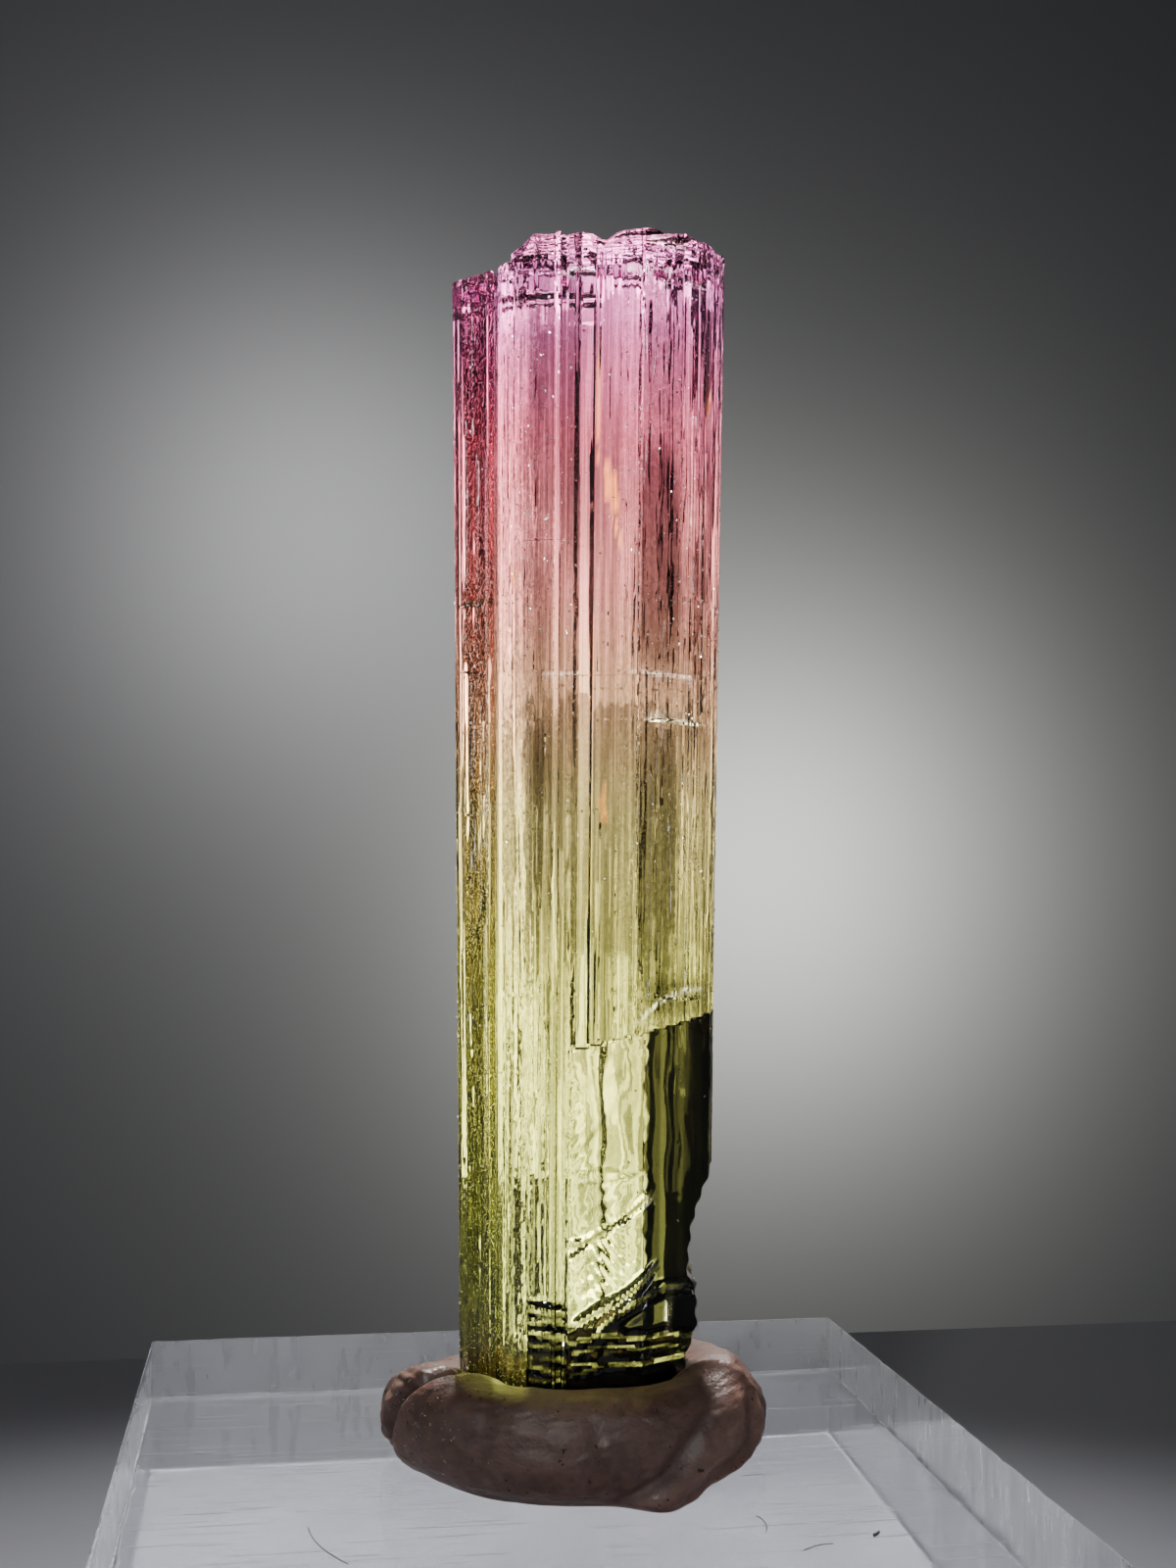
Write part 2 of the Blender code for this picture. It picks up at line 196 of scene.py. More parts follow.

# %% [markdown]
# ## The crystal's section
#
# Tourmaline grows as long prisms side by side. Seen from above, this one has three: a narrow
# one on the left, a middle one and a broad one on the right, with a deep groove between the
# first two. Every facet carries fine ridges along its length. Each corner below says how fine
# the ridges of the facet after it are, how deep they are, how much it is pitted, and how much
# its colour is darkened: painted shade that stands in for the darker light each facet bends
# towards the eye, deepest on the groove walls.

# %% Corners of the section: side, depth, ridge pitch, relief, grain, painted shade
SECTION = [
    (-5.87, -0.60, 0.30, 0.030, 0.8, 0.90),
    (-5.74, -1.90, 0.20, 0.022, 0.4, 1.00),
    (-5.30, -2.66, 0.18, 0.018, 0.4, 1.00),
    (-4.22, -3.42, 0.60, 0.002, 0.1, 1.00),
    (-3.97, -3.52, 0.60, 0.002, 0.1, 0.60),
    (-3.88, -2.95, 0.60, 0.002, 0.1, 0.20),
    (-3.80, -3.40, 0.20, 0.010, 0.8, 0.90),
    (-3.66, -3.86, 0.16, 0.022, 1.0, 1.00),
    (-3.12, -4.36, 0.18, 0.024, 1.0, 0.50),
    (-2.28, -4.72, 0.20, 0.028, 0.5, 0.42),
    (-1.46, -4.88, 0.40, 0.004, 0.1, 1.00),
    (-1.38, -5.05, 0.40, 0.004, 0.1, 1.00),
    (-1.28, -5.05, 0.40, 0.004, 0.1, 0.80),
    (-1.20, -4.86, 0.30, 0.008, 0.3, 0.22),
    (-1.02, -4.70, 0.40, 0.004, 0.1, 0.50),
    (-0.96, -4.84, 0.18, 0.026, 0.6, 0.34),
    (-0.40, -4.95, 0.60, 0.004, 0.0, 0.84),
    (0.13, -4.96, 0.60, 0.004, 0.0, 0.60),
    (0.17, -4.86, 0.60, 0.004, 0.0, 0.40),
    (0.24, -4.92, 0.19, 0.034, 0.2, 0.46),
    (1.20, -5.04, 0.17, 0.032, 0.5, 0.60),
    (2.04, -5.16, 0.30, 0.010, 1.0, 1.00),
    (2.16, -5.06, 0.24, 0.016, 0.9, 0.42),
    (3.78, -4.30, 0.18, 0.030, 0.6, 0.50),
    (4.82, -3.34, 0.18, 0.030, 0.6, 0.70),
    (5.45, -2.10, 0.20, 0.026, 0.9, 0.85),
    (5.71, -0.70, 0.30, 0.024, 0.6, 0.85),
    (5.72, 0.60, 0.34, 0.040, 0.4, 0.90),
    (5.20, 2.30, 0.30, 0.034, 0.3, 0.95),
    (4.10, 3.90, 0.40, 0.030, 0.3, 1.00),
    (2.70, 5.00, 0.34, 0.020, 0.2, 1.00),
    (1.20, 5.50, 0.40, 0.010, 0.2, 1.00),
    (0.50, 5.30, 0.40, 0.010, 0.2, 1.00),
    (0.36, 5.05, 0.40, 0.010, 0.2, 1.00),
    (0.10, 5.60, 0.30, 0.034, 0.3, 1.00),
    (-1.20, 5.78, 0.34, 0.030, 0.3, 1.00),
    (-2.60, 5.10, 0.40, 0.010, 0.2, 1.00),
    (-2.72, 3.95, 0.40, 0.010, 0.2, 1.00),
    (-2.90, 3.75, 0.40, 0.016, 0.2, 1.00),
    (-5.00, 2.95, 0.34, 0.036, 0.3, 0.95),
    (-5.60, 1.10, 0.30, 0.034, 0.4, 0.90),
]
FRONT_SPACING, REAR_SPACING = 0.062, 0.20
FRONT_LIMIT = 0.8


def section_lines():
    """Samples the section: place, outward direction, distance round, and each facet's finish."""
    rows = []
    around = 0.0
    for corner, after in zip(SECTION, SECTION[1:] + SECTION[:1]):
        start = np.array(corner[:2])
        edge = np.array(after[:2]) - start
        length = float(np.hypot(*edge))
        outward = np.array((edge[1], -edge[0])) / length
        front = start[1] < FRONT_LIMIT and after[1] < FRONT_LIMIT
        count = max(1, round(length / (FRONT_SPACING if front else REAR_SPACING)))
        for step in range(count):
            share = step / count
            spot = start + edge * share
            rows.append((*spot, *outward, around + length * share, *corner[2:]))
        around += length
    table = np.array(rows)
    before = np.roll(table[:, 2:4], 1, axis=0)
    blended = table[:, 2:4] + before
    table[:, 2:4] = blended / np.linalg.norm(blended, axis=1)[:, None]
    return table


LINES = section_lines()
print("the section has", len(LINES), "lines round", round(LINES[-1, 4], 1), "mm")

# %% [markdown]
# ## The broken top
#
# The top is a flat growth face that broke away in small tilted ledges. Box cutters could make
# them, as in the rigid solid, but a height that is worked out for any place on the top also
# shapes the upper rim of the sides, so both meet without a seam.

# %% Height of the top at a place
LEFT_EDGE_OF_MIDDLE = -3.72
RIGHT_EDGE_OF_MIDDLE = 0.24
LEFT_LEVEL, MIDDLE_LEVEL, RIGHT_LEVEL = 64.7, 65.48, 66.0
TOP_LEDGES = [
    ((-5.5, -2.8), 2.7, 4.4, 64.28, (3.0, -3.0, -3.0)),
    ((-3.95, -3.2), 0.8, 2.6, 64.48, (4.0, -10.0, 0.0)),
    ((-5.2, 2.9), 2.8, 3.8, 64.2, (3.0, -4.0, 35.0)),
    ((3.9, -4.2), 1.9, 1.7, 65.70, (-4.0, 2.0, -32.0)),
    ((-1.8, 5.2), 4.4, 3.1, 64.7, (-7.0, 5.0, 18.0)),
    ((-2.2, 1.6), 2.3, 2.0, 65.25, (4.0, -3.0, 62.0)),
    ((1.95, -4.7), 3.9, 2.3, 65.54, (-4.0, -4.0, 3.0)),
    ((5.2, -2.8), 2.4, 3.0, 65.65, (-3.0, 5.0, -34.0)),
    ((3.6, 4.5), 4.2, 2.9, 65.2, (-8.0, 6.0, -31.0)),
    ((4.9, 1.4), 2.2, 2.8, 65.7, (2.0, 8.0, 24.0)),
]
SHOULDER_START, SHOULDER_END, SHOULDER_DROP = -3.72, -2.6, 0.85
SEAM_DIP, SEAM_MIDDLE, SEAM_WIDTH = 0.30, 0.52, 0.34
TERRACE_DROP, NICK_DROP = 0.05, 0.03


def top_level(side, depth):
    """The level of the broken top over a place in the crystal's frame."""
    level = np.where(side < LEFT_EDGE_OF_MIDDLE, LEFT_LEVEL, MIDDLE_LEVEL)
    level = np.where(side > RIGHT_EDGE_OF_MIDDLE, RIGHT_LEVEL, level)
    for centre, width, reach, height, (nod, roll, turn) in TOP_LEDGES:
        angle = math.radians(turn)
        along = (side - centre[0]) * math.cos(angle) + (depth - centre[1]) * math.sin(angle)
        away = (depth - centre[1]) * math.cos(angle) - (side - centre[0]) * math.sin(angle)
        plane = height - along * math.tan(math.radians(roll)) + away * math.tan(math.radians(nod))
        inside = (np.abs(along) < width / 2) & (np.abs(away) < reach / 2)
        level = np.where(inside, np.minimum(level, plane), level)
    shoulder = (side >= SHOULDER_START) & (side < SHOULDER_END) & (depth < -1.5)
    share = (SHOULDER_END - side) / (SHOULDER_END - SHOULDER_START)
    level = np.where(shoulder, np.minimum(level, MIDDLE_LEVEL - SHOULDER_DROP * share), level)
    level = level - SEAM_DIP * bell(side - SEAM_MIDDLE, SEAM_WIDTH) * (depth < -2.0)
    column = np.floor(side / 0.55 + 0.25 * depth)
    terrace = cell_value(column, np.floor(depth / 0.9 + cell_value(column, 0.0, 11)), 4)
    nick = cell_value(np.floor(side / 0.21), np.floor(depth / 0.3), 9)
    wave = 0.03 * np.sin(depth * 5.0 + side) + 0.02 * np.sin(side * 6.1 - depth)
    return level - TERRACE_DROP * terrace ** 2 - NICK_DROP * np.maximum(nick - 0.6, 0.0) + wave


print("top levels at the front", top_level(np.array([-5.0, -1.5, 3.0]), np.full(3, -3.5)).round(2))

# %% [markdown]
# ## The spall, the chipped edge and the stepped foot
#
# Near the foot a slab broke off the front of the right column. Glassy minerals break in shells,
# so the scar has a sharp ledge above, curved ripples across it and small steps at its bottom.
# Carving moves the skin back to the scar's surface, and never forward of where it was.

# %% Depth of the scar, its ripples, and the edge that is left on the right
SCAR_LEFT, SCAR_RIDGE = -0.65, 2.45
SCAR_TOP, SCAR_SLOPE = 30.65, 0.235
SCAR_LIP_DEPTH, SCAR_TILT, SCAR_RIGHT_TILT = -4.60, 0.13, 0.66
BREAK_LINES = [
    ((-0.50, 24.90), (2.45, 25.50), 0.12, 0.045, 0.14),
    ((-0.30, 25.20), (1.50, 25.45), -0.25, -0.03, 0.12),
    ((-0.55, 22.45), (2.60, 24.35), 0.30, 0.11, 0.18),
    ((-0.45, 22.05), (1.70, 23.40), -0.15, -0.06, 0.14),
    ((-0.20, 21.40), (1.20, 22.30), -0.20, 0.03, 0.12),
    ((-0.40, 19.20), (2.80, 21.20), 0.20, 0.13, 0.20),
    ((0.30, 19.10), (2.40, 20.20), -0.25, 0.05, 0.14),
    ((0.60, 18.90), (4.60, 20.40), -0.60, 0.11, 0.22),
    ((-0.60, 18.55), (4.60, 18.35), -0.25, 0.11, 0.17),
    ((-0.60, 18.10), (4.60, 17.80), -0.32, 0.08, 0.12),
    ((-0.60, 17.75), (4.60, 17.60), 0.12, 0.10, 0.15),
    ((-0.60, 17.20), (4.40, 17.40), -0.30, 0.10, 0.16),
]
CHIPPED_EDGE = [
    (25.9, 6.4), (25.3, 5.5), (24.25, 5.04), (22.95, 4.65), (21.6, 4.5), (20.81, 4.49),
    (20.38, 4.84), (18.67, 4.89), (17.38, 4.38), (12.0, 4.2),
]
STEP_LEFT, STEP_RIGHT = -2.35, -0.62
FOOT_STEPS = [20.25, 19.75, 19.3, 18.75, 18.35, 17.8, 17.35, 16.9]


def scar_top(side):
    return SCAR_TOP + SCAR_SLOPE * (side - SCAR_LEFT)


def line_level(side, first, last, sag):
    """The level of a sagging line between two places of the front."""
    share = np.clip((side - first[0]) / (last[0] - first[0]), -0.2, 1.2)
    return first[1] + (last[1] - first[1]) * share - sag * 4 * share * (1 - share)


def scar_depth(side, level):
    """How far back the break has moved the front at a place on it."""
    flat = SCAR_LIP_DEPTH + SCAR_TILT * (side - SCAR_LEFT)
    turned = flat + SCAR_RIGHT_TILT * np.maximum(0.0, side - SCAR_RIDGE)
    belly = 0.22 * np.sin(np.clip((level - 17.0) / 14.0, 0.0, 1.0) * math.pi)
    surface = turned + belly * soft_step((side - SCAR_LEFT) / 1.4)
    left_part = 1.0 - soft_step((side - SCAR_RIDGE) / 0.4)
    surface = surface + 0.03 * np.sin(side * 2.3 + level * 0.9) * np.sin(level * 0.75 - 1.0)
    for first, last, sag, height, width in BREAK_LINES:
        line = line_level(side, first, last, sag) + 0.05 * np.sin(side * 2.3 + first[1])
        away = (level - line) / width
        reach = soft_step((side - first[0] + 0.3) / 0.5) * (1 - soft_step((side - last[0]) / 0.5))
        surface = surface - height * reach * 1.3 * away * bell(away, 1.0)
    spread = np.hypot(side - 4.6, level - 16.0)
    fading = 0.35 + 0.65 * np.sin(level * 0.8 + side) ** 2
    shells = 0.007 * np.sin(spread * 11.0 + 2.2 * np.sin(side * 1.3 + level * 0.6)) * fading
    hackle = np.sin((side * 0.80 + level * 0.6) * 17.0) * bell(level - 22.0, 1.4) * bell(side - 0.9, 0.8)
    return surface + (shells + 0.02 * hackle) * left_part


def bowed_steps(side):
    """The place across the middle column, and each foot step's number and bowed level there."""
    across = (side - STEP_LEFT) / (STEP_RIGHT - STEP_LEFT)
    bows = [step - 0.14 * across ** 2 + 0.06 * np.sin(across * 5.0 + index * 2.3)
            for index, step in enumerate(FOOT_STEPS)]
    return across, list(enumerate(bows))


def foot_depth(side, level):
    """Stair-like breaks low on the middle column."""
    depth = np.zeros_like(side)
    across, bows = bowed_steps(side)
    for index, bow in bows:
        away = (bow - level) / 0.12
        fade = 0.35 + 0.65 * np.sin(across * 2.6 + index * 1.7) ** 2
        depth += (0.05 + 0.07 * cell_value(index, 3, 8)) * fade * bell(away - 0.6, 1.0)
        depth += 0.03 * soft_step(away)
    inside = soft_step((side - STEP_LEFT) / 0.1) * soft_step((STEP_RIGHT - side) / 0.1)
    return depth * inside


print("the scar's lip is at level", scar_top(np.array([SCAR_LEFT, 5.0])).round(2))

# %% [markdown]
# ## Painted shade on the crystal's front
#
# A see-through crystal looks bright where the light behind it comes straight through, and dark
# where cracks or a turned surface send it elsewhere. A ray tracer finds the large ones by
# itself. The dark clouds, the feathery cracks and the black foot are finer than the mesh, so
# their shade is painted: each point of the skin gets a value from 0 to 1, named clear, that
# the material multiplies its colour by, with painted highlights along the foot's steps.

# %% Painted shade of the scar and the foot
DARK_SIDE = 2.50
FOOT_TOP = 19.1
# Lines of painted highlight across the foot's breaks.
FOOT_LINES = [
    ((-0.62, 19.05), (4.7, 18.30), -0.22), ((-0.62, 18.82), (4.7, 18.12), -0.14),
    ((-0.62, 18.42), (4.7, 17.90), -0.20), ((-0.62, 18.05), (4.7, 17.60), -0.14),
    ((-0.62, 17.55), (4.4, 17.45), -0.10),
]
# Dark strokes along feathery cracks: painted shade.
FEATHER_SHADE_LINES = [
    ((-0.60, 26.2), (0.70, 27.5), 0.10, 0.50, 0.16),
    ((-0.50, 28.6), (0.50, 29.4), -0.15, 0.35, 0.22),
    ((0.10, 27.0), (1.60, 28.9), 0.25, 0.30, 0.30),
    ((0.60, 29.3), (2.30, 30.4), 0.20, 0.30, 0.25),
    ((-0.50, 23.4), (1.20, 24.6), 0.10, 0.35, 0.12),
    ((-0.30, 20.4), (1.90, 22.0), -0.20, 0.30, 0.10),
    ((-0.50, 19.8), (1.30, 20.9), -0.15, 0.30, 0.10),
]


def broken_away(side, level):
    """True where the break has left a glassy surface instead of growth faces."""
    scar = (level < scar_top(side)) & (side > SCAR_LEFT)
    return scar | ((side > STEP_LEFT) & (side <= SCAR_LEFT) & (level < FOOT_STEPS[0]))


def scar_painted_shade(side, level):
    """Painted shade of the scar: bright on the left, dark past its ridge, with dark break lines."""
    seam = DARK_SIDE + 0.10 * np.sin(level * 2.1) + 0.05 * np.sin(level * 7.3)
    seam = seam - 0.3 * soft_step((22.0 - level) / 2.0)
    dark = soft_step((side - seam) / 0.08)
    clear = 0.90 - 0.26 * soft_step((side - 1.3 + 0.2 * np.sin(level * 0.9)) / 0.4)
    clear = clear - 0.14 * soft_step((level - 25.0) / 2.0)
    for first, last, sag, strength, width in FEATHER_SHADE_LINES:
        away = (level - line_level(side, first, last, sag)) / width
        reach = soft_step((side - first[0]) / 0.2) * (1 - soft_step((side - last[0] + 0.3) / 0.3))
        clear = clear * (1.0 - strength * reach * bell(away, 1.0))
    # Painted shade: nearly black below the lowest long break, and dark lines along the breaks.
    under = level < line_level(side, *BREAK_LINES[7][:3])
    for first, last, sag, height, width in BREAK_LINES[:8]:
        away = (level - line_level(side, first, last, sag) - 0.06) / 0.085
        reach = soft_step((side - first[0]) / 0.3) * (1 - soft_step((side - last[0]) / 0.4))
        clear = clear * (1.0 - 0.65 * reach * bell(away, 1.0))
    clear = clear + (0.026 + 0.026 * soft_step(np.sin(side * 8.0)) - clear) * dark
    return np.where(under & (side > 0.8), 0.012, clear)


def foot_painted_shade(side, level):
    """Painted shade, nearly black at the foot, with painted highlights: thin bright lines where the
    steps catch the light.
    """
    glow = np.zeros_like(side)
    for index, (first, last, sag) in enumerate(FOOT_LINES):
        line = line_level(side, first, last, sag) + 0.05 * np.sin(side * 3.1 + index)
        shine = 0.12 + 0.40 * soft_step(np.sin(side * 1.9 + index * 2.1) * 0.6 + 0.5)
        glow = np.maximum(glow, shine * bell(level - line, 0.07))
    stairs = np.zeros_like(side)
    for index, bow in bowed_steps(side)[1]:
        shine = 0.10 + 0.42 * cell_value(index, 5, 3)
        stairs = np.maximum(stairs, shine * bell(level - bow - 0.1, 0.09))
    return 0.018 + 0.90 * np.where(side > STEP_RIGHT, glow, stairs)


print("the foot turns dark below level", FOOT_TOP)

# %% Painted shade of the whole front
# Patches where the front's colour is darkened: painted shade.
SHADE_PATCHES = [
    ((-2.1, 58.0), (0.8, 5.0), 0.45),
    ((-0.5, 57.8), (0.9, 6.5), 0.48),
    ((-2.3, 47.0), (0.8, 6.0), 0.35),
    ((2.9, 51.5), (1.0, 5.5), 0.72),
    ((3.0, 59.5), (0.9, 2.4), 0.35),
    ((4.4, 47.5), (0.7, 5.0), 0.35),
    ((2.9, 38.5), (0.9, 6.5), 0.52),
    ((3.9, 32.9), (1.5, 0.9), 0.60),
    ((-1.9, 40.0), (0.7, 4.5), 0.45),
    ((-4.8, 24.0), (0.5, 9.0), 0.35),
]


def front_painted_shade(side, level, facet_shade):
    """Painted shade of the front at each place, from 0, dark, to 1, squared."""
    clear = facet_shade.copy()
    for centre, half, strength in SHADE_PATCHES:
        across, along = (side - centre[0]) / half[0], (level - centre[1]) / half[1]
        away = (across ** 4 + along ** 4) ** 0.25
        clear = clear * (1.0 - strength * (1.0 - soft_step((away - 0.7) / 0.5)))
    # Painted light: lighter towards the bottom on the left.
    clear = clear + (1.0 - clear) * 0.75 * soft_step((37.0 - level) / 9.0) * (side < -0.5)
    clear = np.where(broken_away(side, level), scar_painted_shade(side, level), clear)
    top = np.where(side > STEP_RIGHT, FOOT_TOP - 0.15 * side, FOOT_STEPS[0])
    at_foot = (side > STEP_LEFT) & (side < 5.0) & (level < top)
    clear = np.where(at_foot, foot_painted_shade(side, level), clear)
    return clear ** 2


print("the front has", len(SHADE_PATCHES), "smoky patches")

# %% [markdown]
# ## Iron stains and bright crack rims
#
# Orange iron stains lie in a few thin seams, and the rims of the larger cracks catch the light
# as broken white lines, which are painted highlights, as is one bright glint low on the foot.
# Both could be painted in an image, but a formula stays sharp at any size. Each is a value from
# 0 to 1 on the skin's points, and the material mixes its colour in by that value.

# %% Stains and flashes
STAINS = [
    ((0.86, 54.4), (0.30, 1.00), 0.25, 0.9),
    ((1.10, 52.7), (0.07, 0.95), 0.30, 0.8),
    ((0.62, 40.8), (0.20, 0.85), 0.05, 0.6),
    ((-3.25, 50.7), (0.10, 0.60), 0.20, 0.8),
    ((5.10, 58.6), (0.14, 0.80), 0.00, 0.7),
    ((0.30, 58.5), (0.06, 2.60), 0.00, 0.8),
]


def stained(side, level):
    """Where thin orange iron stains lie on the front, from 0 to 1."""
    stain = np.zeros_like(side)
    for centre, half, slant, strength in STAINS:
        ragged = 1.0 + 0.3 * np.sin(level * 6.0 + side * 9.0)
        across = (side - centre[0] + slant * (level - centre[1])) / half[0]
        away = np.hypot(across, (level - centre[1]) / half[1]) * ragged
        stain = np.maximum(stain, strength * (1.0 - soft_step((away - 0.7) / 0.3)))
    return stain


FLASHES = [
    ((-2.0, 46.50), (-0.3, 46.56), 0.04, 0.45),
    ((1.7, 46.60), (4.4, 46.52), 0.04, 0.45),
    ((2.3, 44.60), (4.7, 44.50), -0.06, 0.8),
    ((-4.6, 40.60), (-4.0, 40.60), 0.00, 0.6),
    ((-5.3, 49.90), (-4.5, 49.80), 0.10, 0.5),
    ((2.1, 31.75), (5.2, 33.05), -0.55, 0.8),
    ((2.4, 65.20), (4.0, 65.10), -0.05, 1.0),
    ((-1.3, 63.90), (0.1, 63.80), 0.05, 0.9),
    ((1.5, 63.85), (4.9, 63.70), -0.10, 0.9),
]
FLASH_WIDTH, TOP_FLASH_WIDTH = 0.07, 0.16
GLINT_SIDE, GLINT_LEVEL, GLINT_SLANT = 3.66, 19.5, 0.08


def flashing(side, level):
    """Painted highlights: broken bright lines where the rims of cracks catch the light, and a painted
    glint low on the foot.
    """
    flash = np.zeros_like(side)
    for index, (first, last, sag, strength) in enumerate(FLASHES):
        width = FLASH_WIDTH if first[1] < 60 else TOP_FLASH_WIDTH
        reach = (side > first[0]) & (side < last[0])
        broken = cell_value(np.floor(side / 0.07), index, 15) ** 2
        line = bell(level - line_level(side, first, last, sag), width)
        flash = np.maximum(flash, strength * reach * line * (0.05 + 0.95 * broken))
    rough = cell_value(np.floor(side / 0.07), np.floor(level / 0.16), 17)
    # A painted glint: a bright upright streak low on the foot.
    across = side - GLINT_SIDE - GLINT_SLANT * (level - GLINT_LEVEL)
    flake = bell(across, 0.09) * np.exp(-((level - GLINT_LEVEL) / 0.6) ** 4)
    return np.maximum(flash, flake * (0.10 + 0.55 * rough))


print("stains", len(STAINS), "flashes", len(FLASHES))

# %% [markdown]
# ## Skin of the crystal
#
# The sides are a grid: one line for every sample of the section and one row for every level.
# A grid that follows the growth direction lets each ridge be one line of points, which a
# general remesh would blur. Rows crowd together at the break and the foot, where the detail is,
# and at the rim. The ridges fade in and out along the crystal, as the real striations do.

# %% Rows of the grid and the ridges
WAIST_LEVEL = 37.7
LEAN_LEFT, LEAN_RIGHT, LEAN_DEEP = 0.0035, 0.0016, 0.0022
FOOT_LEVEL = BLOCK_TOP + 0.3
BROKEN_LOW, BROKEN_HIGH, BROKEN_ROWS = 16.4, 33.4, 131
RIM_START = 63.4
GRAIN_DEPTH = 0.016
FINE_ROWS = [40.6, 44.55, 46.55, 49.85]


def levels():
    foot = np.linspace(FOOT_LEVEL, BROKEN_LOW, 5)[:-1]
    broken = np.linspace(BROKEN_LOW, BROKEN_HIGH, BROKEN_ROWS)
    plain = np.linspace(BROKEN_HIGH, RIM_START, 60)[1:]
    fine = [level + step for level in FINE_ROWS for step in (-0.16, -0.08, 0.0, 0.08, 0.16)]
    rim = np.linspace(RIM_START, RIGHT_LEVEL, 16)[1:]
    return np.unique(np.round(np.concatenate((foot, broken, plain, fine, rim)), 3))


def ridge_offset(around, level, pitch, relief, grain):
    """Inward depth of the growth ridges and pits at a place on the sides."""
    broad = cell_value(np.floor(around / 0.62 + 0.3), np.floor(level / 24.0 + around * 0.7), 1)
    shift = cell_value(np.floor(around / pitch), np.zeros_like(level), 2) * 17.0
    fine = cell_value(np.floor(around / pitch), np.floor((level + shift) / 8.5), 3)
    hair = cell_value(np.floor(around / 0.11), np.floor((level + shift) / 4.0), 5)
    rough = cell_value(np.round(around / 0.062), np.round(level / 0.12), 6)
    pits = np.where(rough > 0.72, (rough - 0.72) / 0.28, 0.0)
    ridges = relief * (0.9 * broad + 1.3 * fine + 0.2 * hair)
    return ridges + grain * GRAIN_DEPTH * pits


print("the skin has", len(levels()), "rows")


# %% The side wall
def side_wall():
    rows = levels()
    around = np.tile(LINES[:, 4], (len(rows), 1))
    level = np.repeat(rows[:, None], len(LINES), axis=1)
    inward = ridge_offset(around, level, LINES[:, 5], LINES[:, 6], LINES[:, 7])
    side = LINES[:, 0] - LINES[:, 2] * inward
    depth = LINES[:, 1] - LINES[:, 3] * inward
    rise = level - WAIST_LEVEL
    side = side * (1 + np.where(side < 0, LEAN_LEFT, LEAN_RIGHT) * rise)
    depth = depth * (1 + LEAN_DEEP * rise)
    lip = soft_step((scar_top(side) - level) / 0.09)
    lip = lip * soft_step((side - SCAR_LEFT + 0.1 * np.sin(level * 1.7)) / 0.12)
    front = depth < -1.0
    carved = np.maximum(depth, scar_depth(side, level))
    depth = np.where(front, depth + (carved - depth) * lip, depth)
    depth = np.where(front, depth + foot_depth(side, level), depth)
    edge_levels, edge_sides = zip(*CHIPPED_EDGE[::-1])
    edge = np.interp(level, edge_levels, edge_sides)
    edge = edge + 0.05 * np.sin(level * 7.0 + depth * 2.0) + 0.04 * np.sin(depth * 3.3)
    side = np.minimum(side, np.where(level < CHIPPED_EDGE[0][0], edge, 9.0))
    top = top_level(side, depth)
    above = level > RIM_START
    lifted = RIM_START + (level - RIM_START) * (top - RIM_START) / (RIGHT_LEVEL - RIM_START)
    return side, depth, np.where(above, lifted, level)


print("the side wall has", side_wall()[0].size, "points")

# %% [markdown]
# ## Top and underside
#
# Each end of the grid is a closed ring of points. An n-gon can't hold the terraces of the broken
# top, so scattered points inside the ring and Blender's Delaunay function fill it with small
# triangles, and every point gets the height of the top over its place.

# %% Caps, and the whole skin
def cap(ring, spacing, height):
    """Triangles that fill a closed ring, with points inside it at the heights given."""
    low, high = ring.min(axis=0), ring.max(axis=0)
    dice = np.random.default_rng(12)
    across = np.arange(low[0], high[0], spacing)
    down = np.arange(low[1], high[1], spacing)
    grid = np.array([(a, b) for a in across for b in down])
    grid = grid + dice.uniform(-0.18, 0.18, grid.shape) * spacing
    following = np.roll(ring, -1, axis=0)
    inside = np.zeros(len(grid), dtype=bool)
    for (a, b), (c, d) in zip(ring, following):
        crosses = (b > grid[:, 1]) != (d > grid[:, 1])
        slope = (c - a) / (d - b) if d != b else 0.0
        inside ^= crosses & (grid[:, 0] < a + slope * (grid[:, 1] - b))
    gap = np.min(np.linalg.norm(grid[:, None, :] - ring[None, ::2, :], axis=2), axis=1)
    grid = grid[inside & (gap > spacing * 0.5)]
    flat = [Vector(point) for point in np.vstack((ring, grid))]
    made = geometry.delaunay_2d_cdt(flat, [], [list(range(len(ring)))], 1, 1e-6)
    points, triangles, origin = made[0], made[2], made[3]
    places = np.array([(point.x, point.y) for point in points])
    keys = [source[0] if source else -1 for source in origin]
    return places, height(places[:, 0], places[:, 1]), triangles, keys


FULL_RELIEF = 0.026
CAP_FINISH = {"grain": 0.1, "ruled": 0.0, "clear": 1.0, "stain": 0.0, "flash": 0.0}


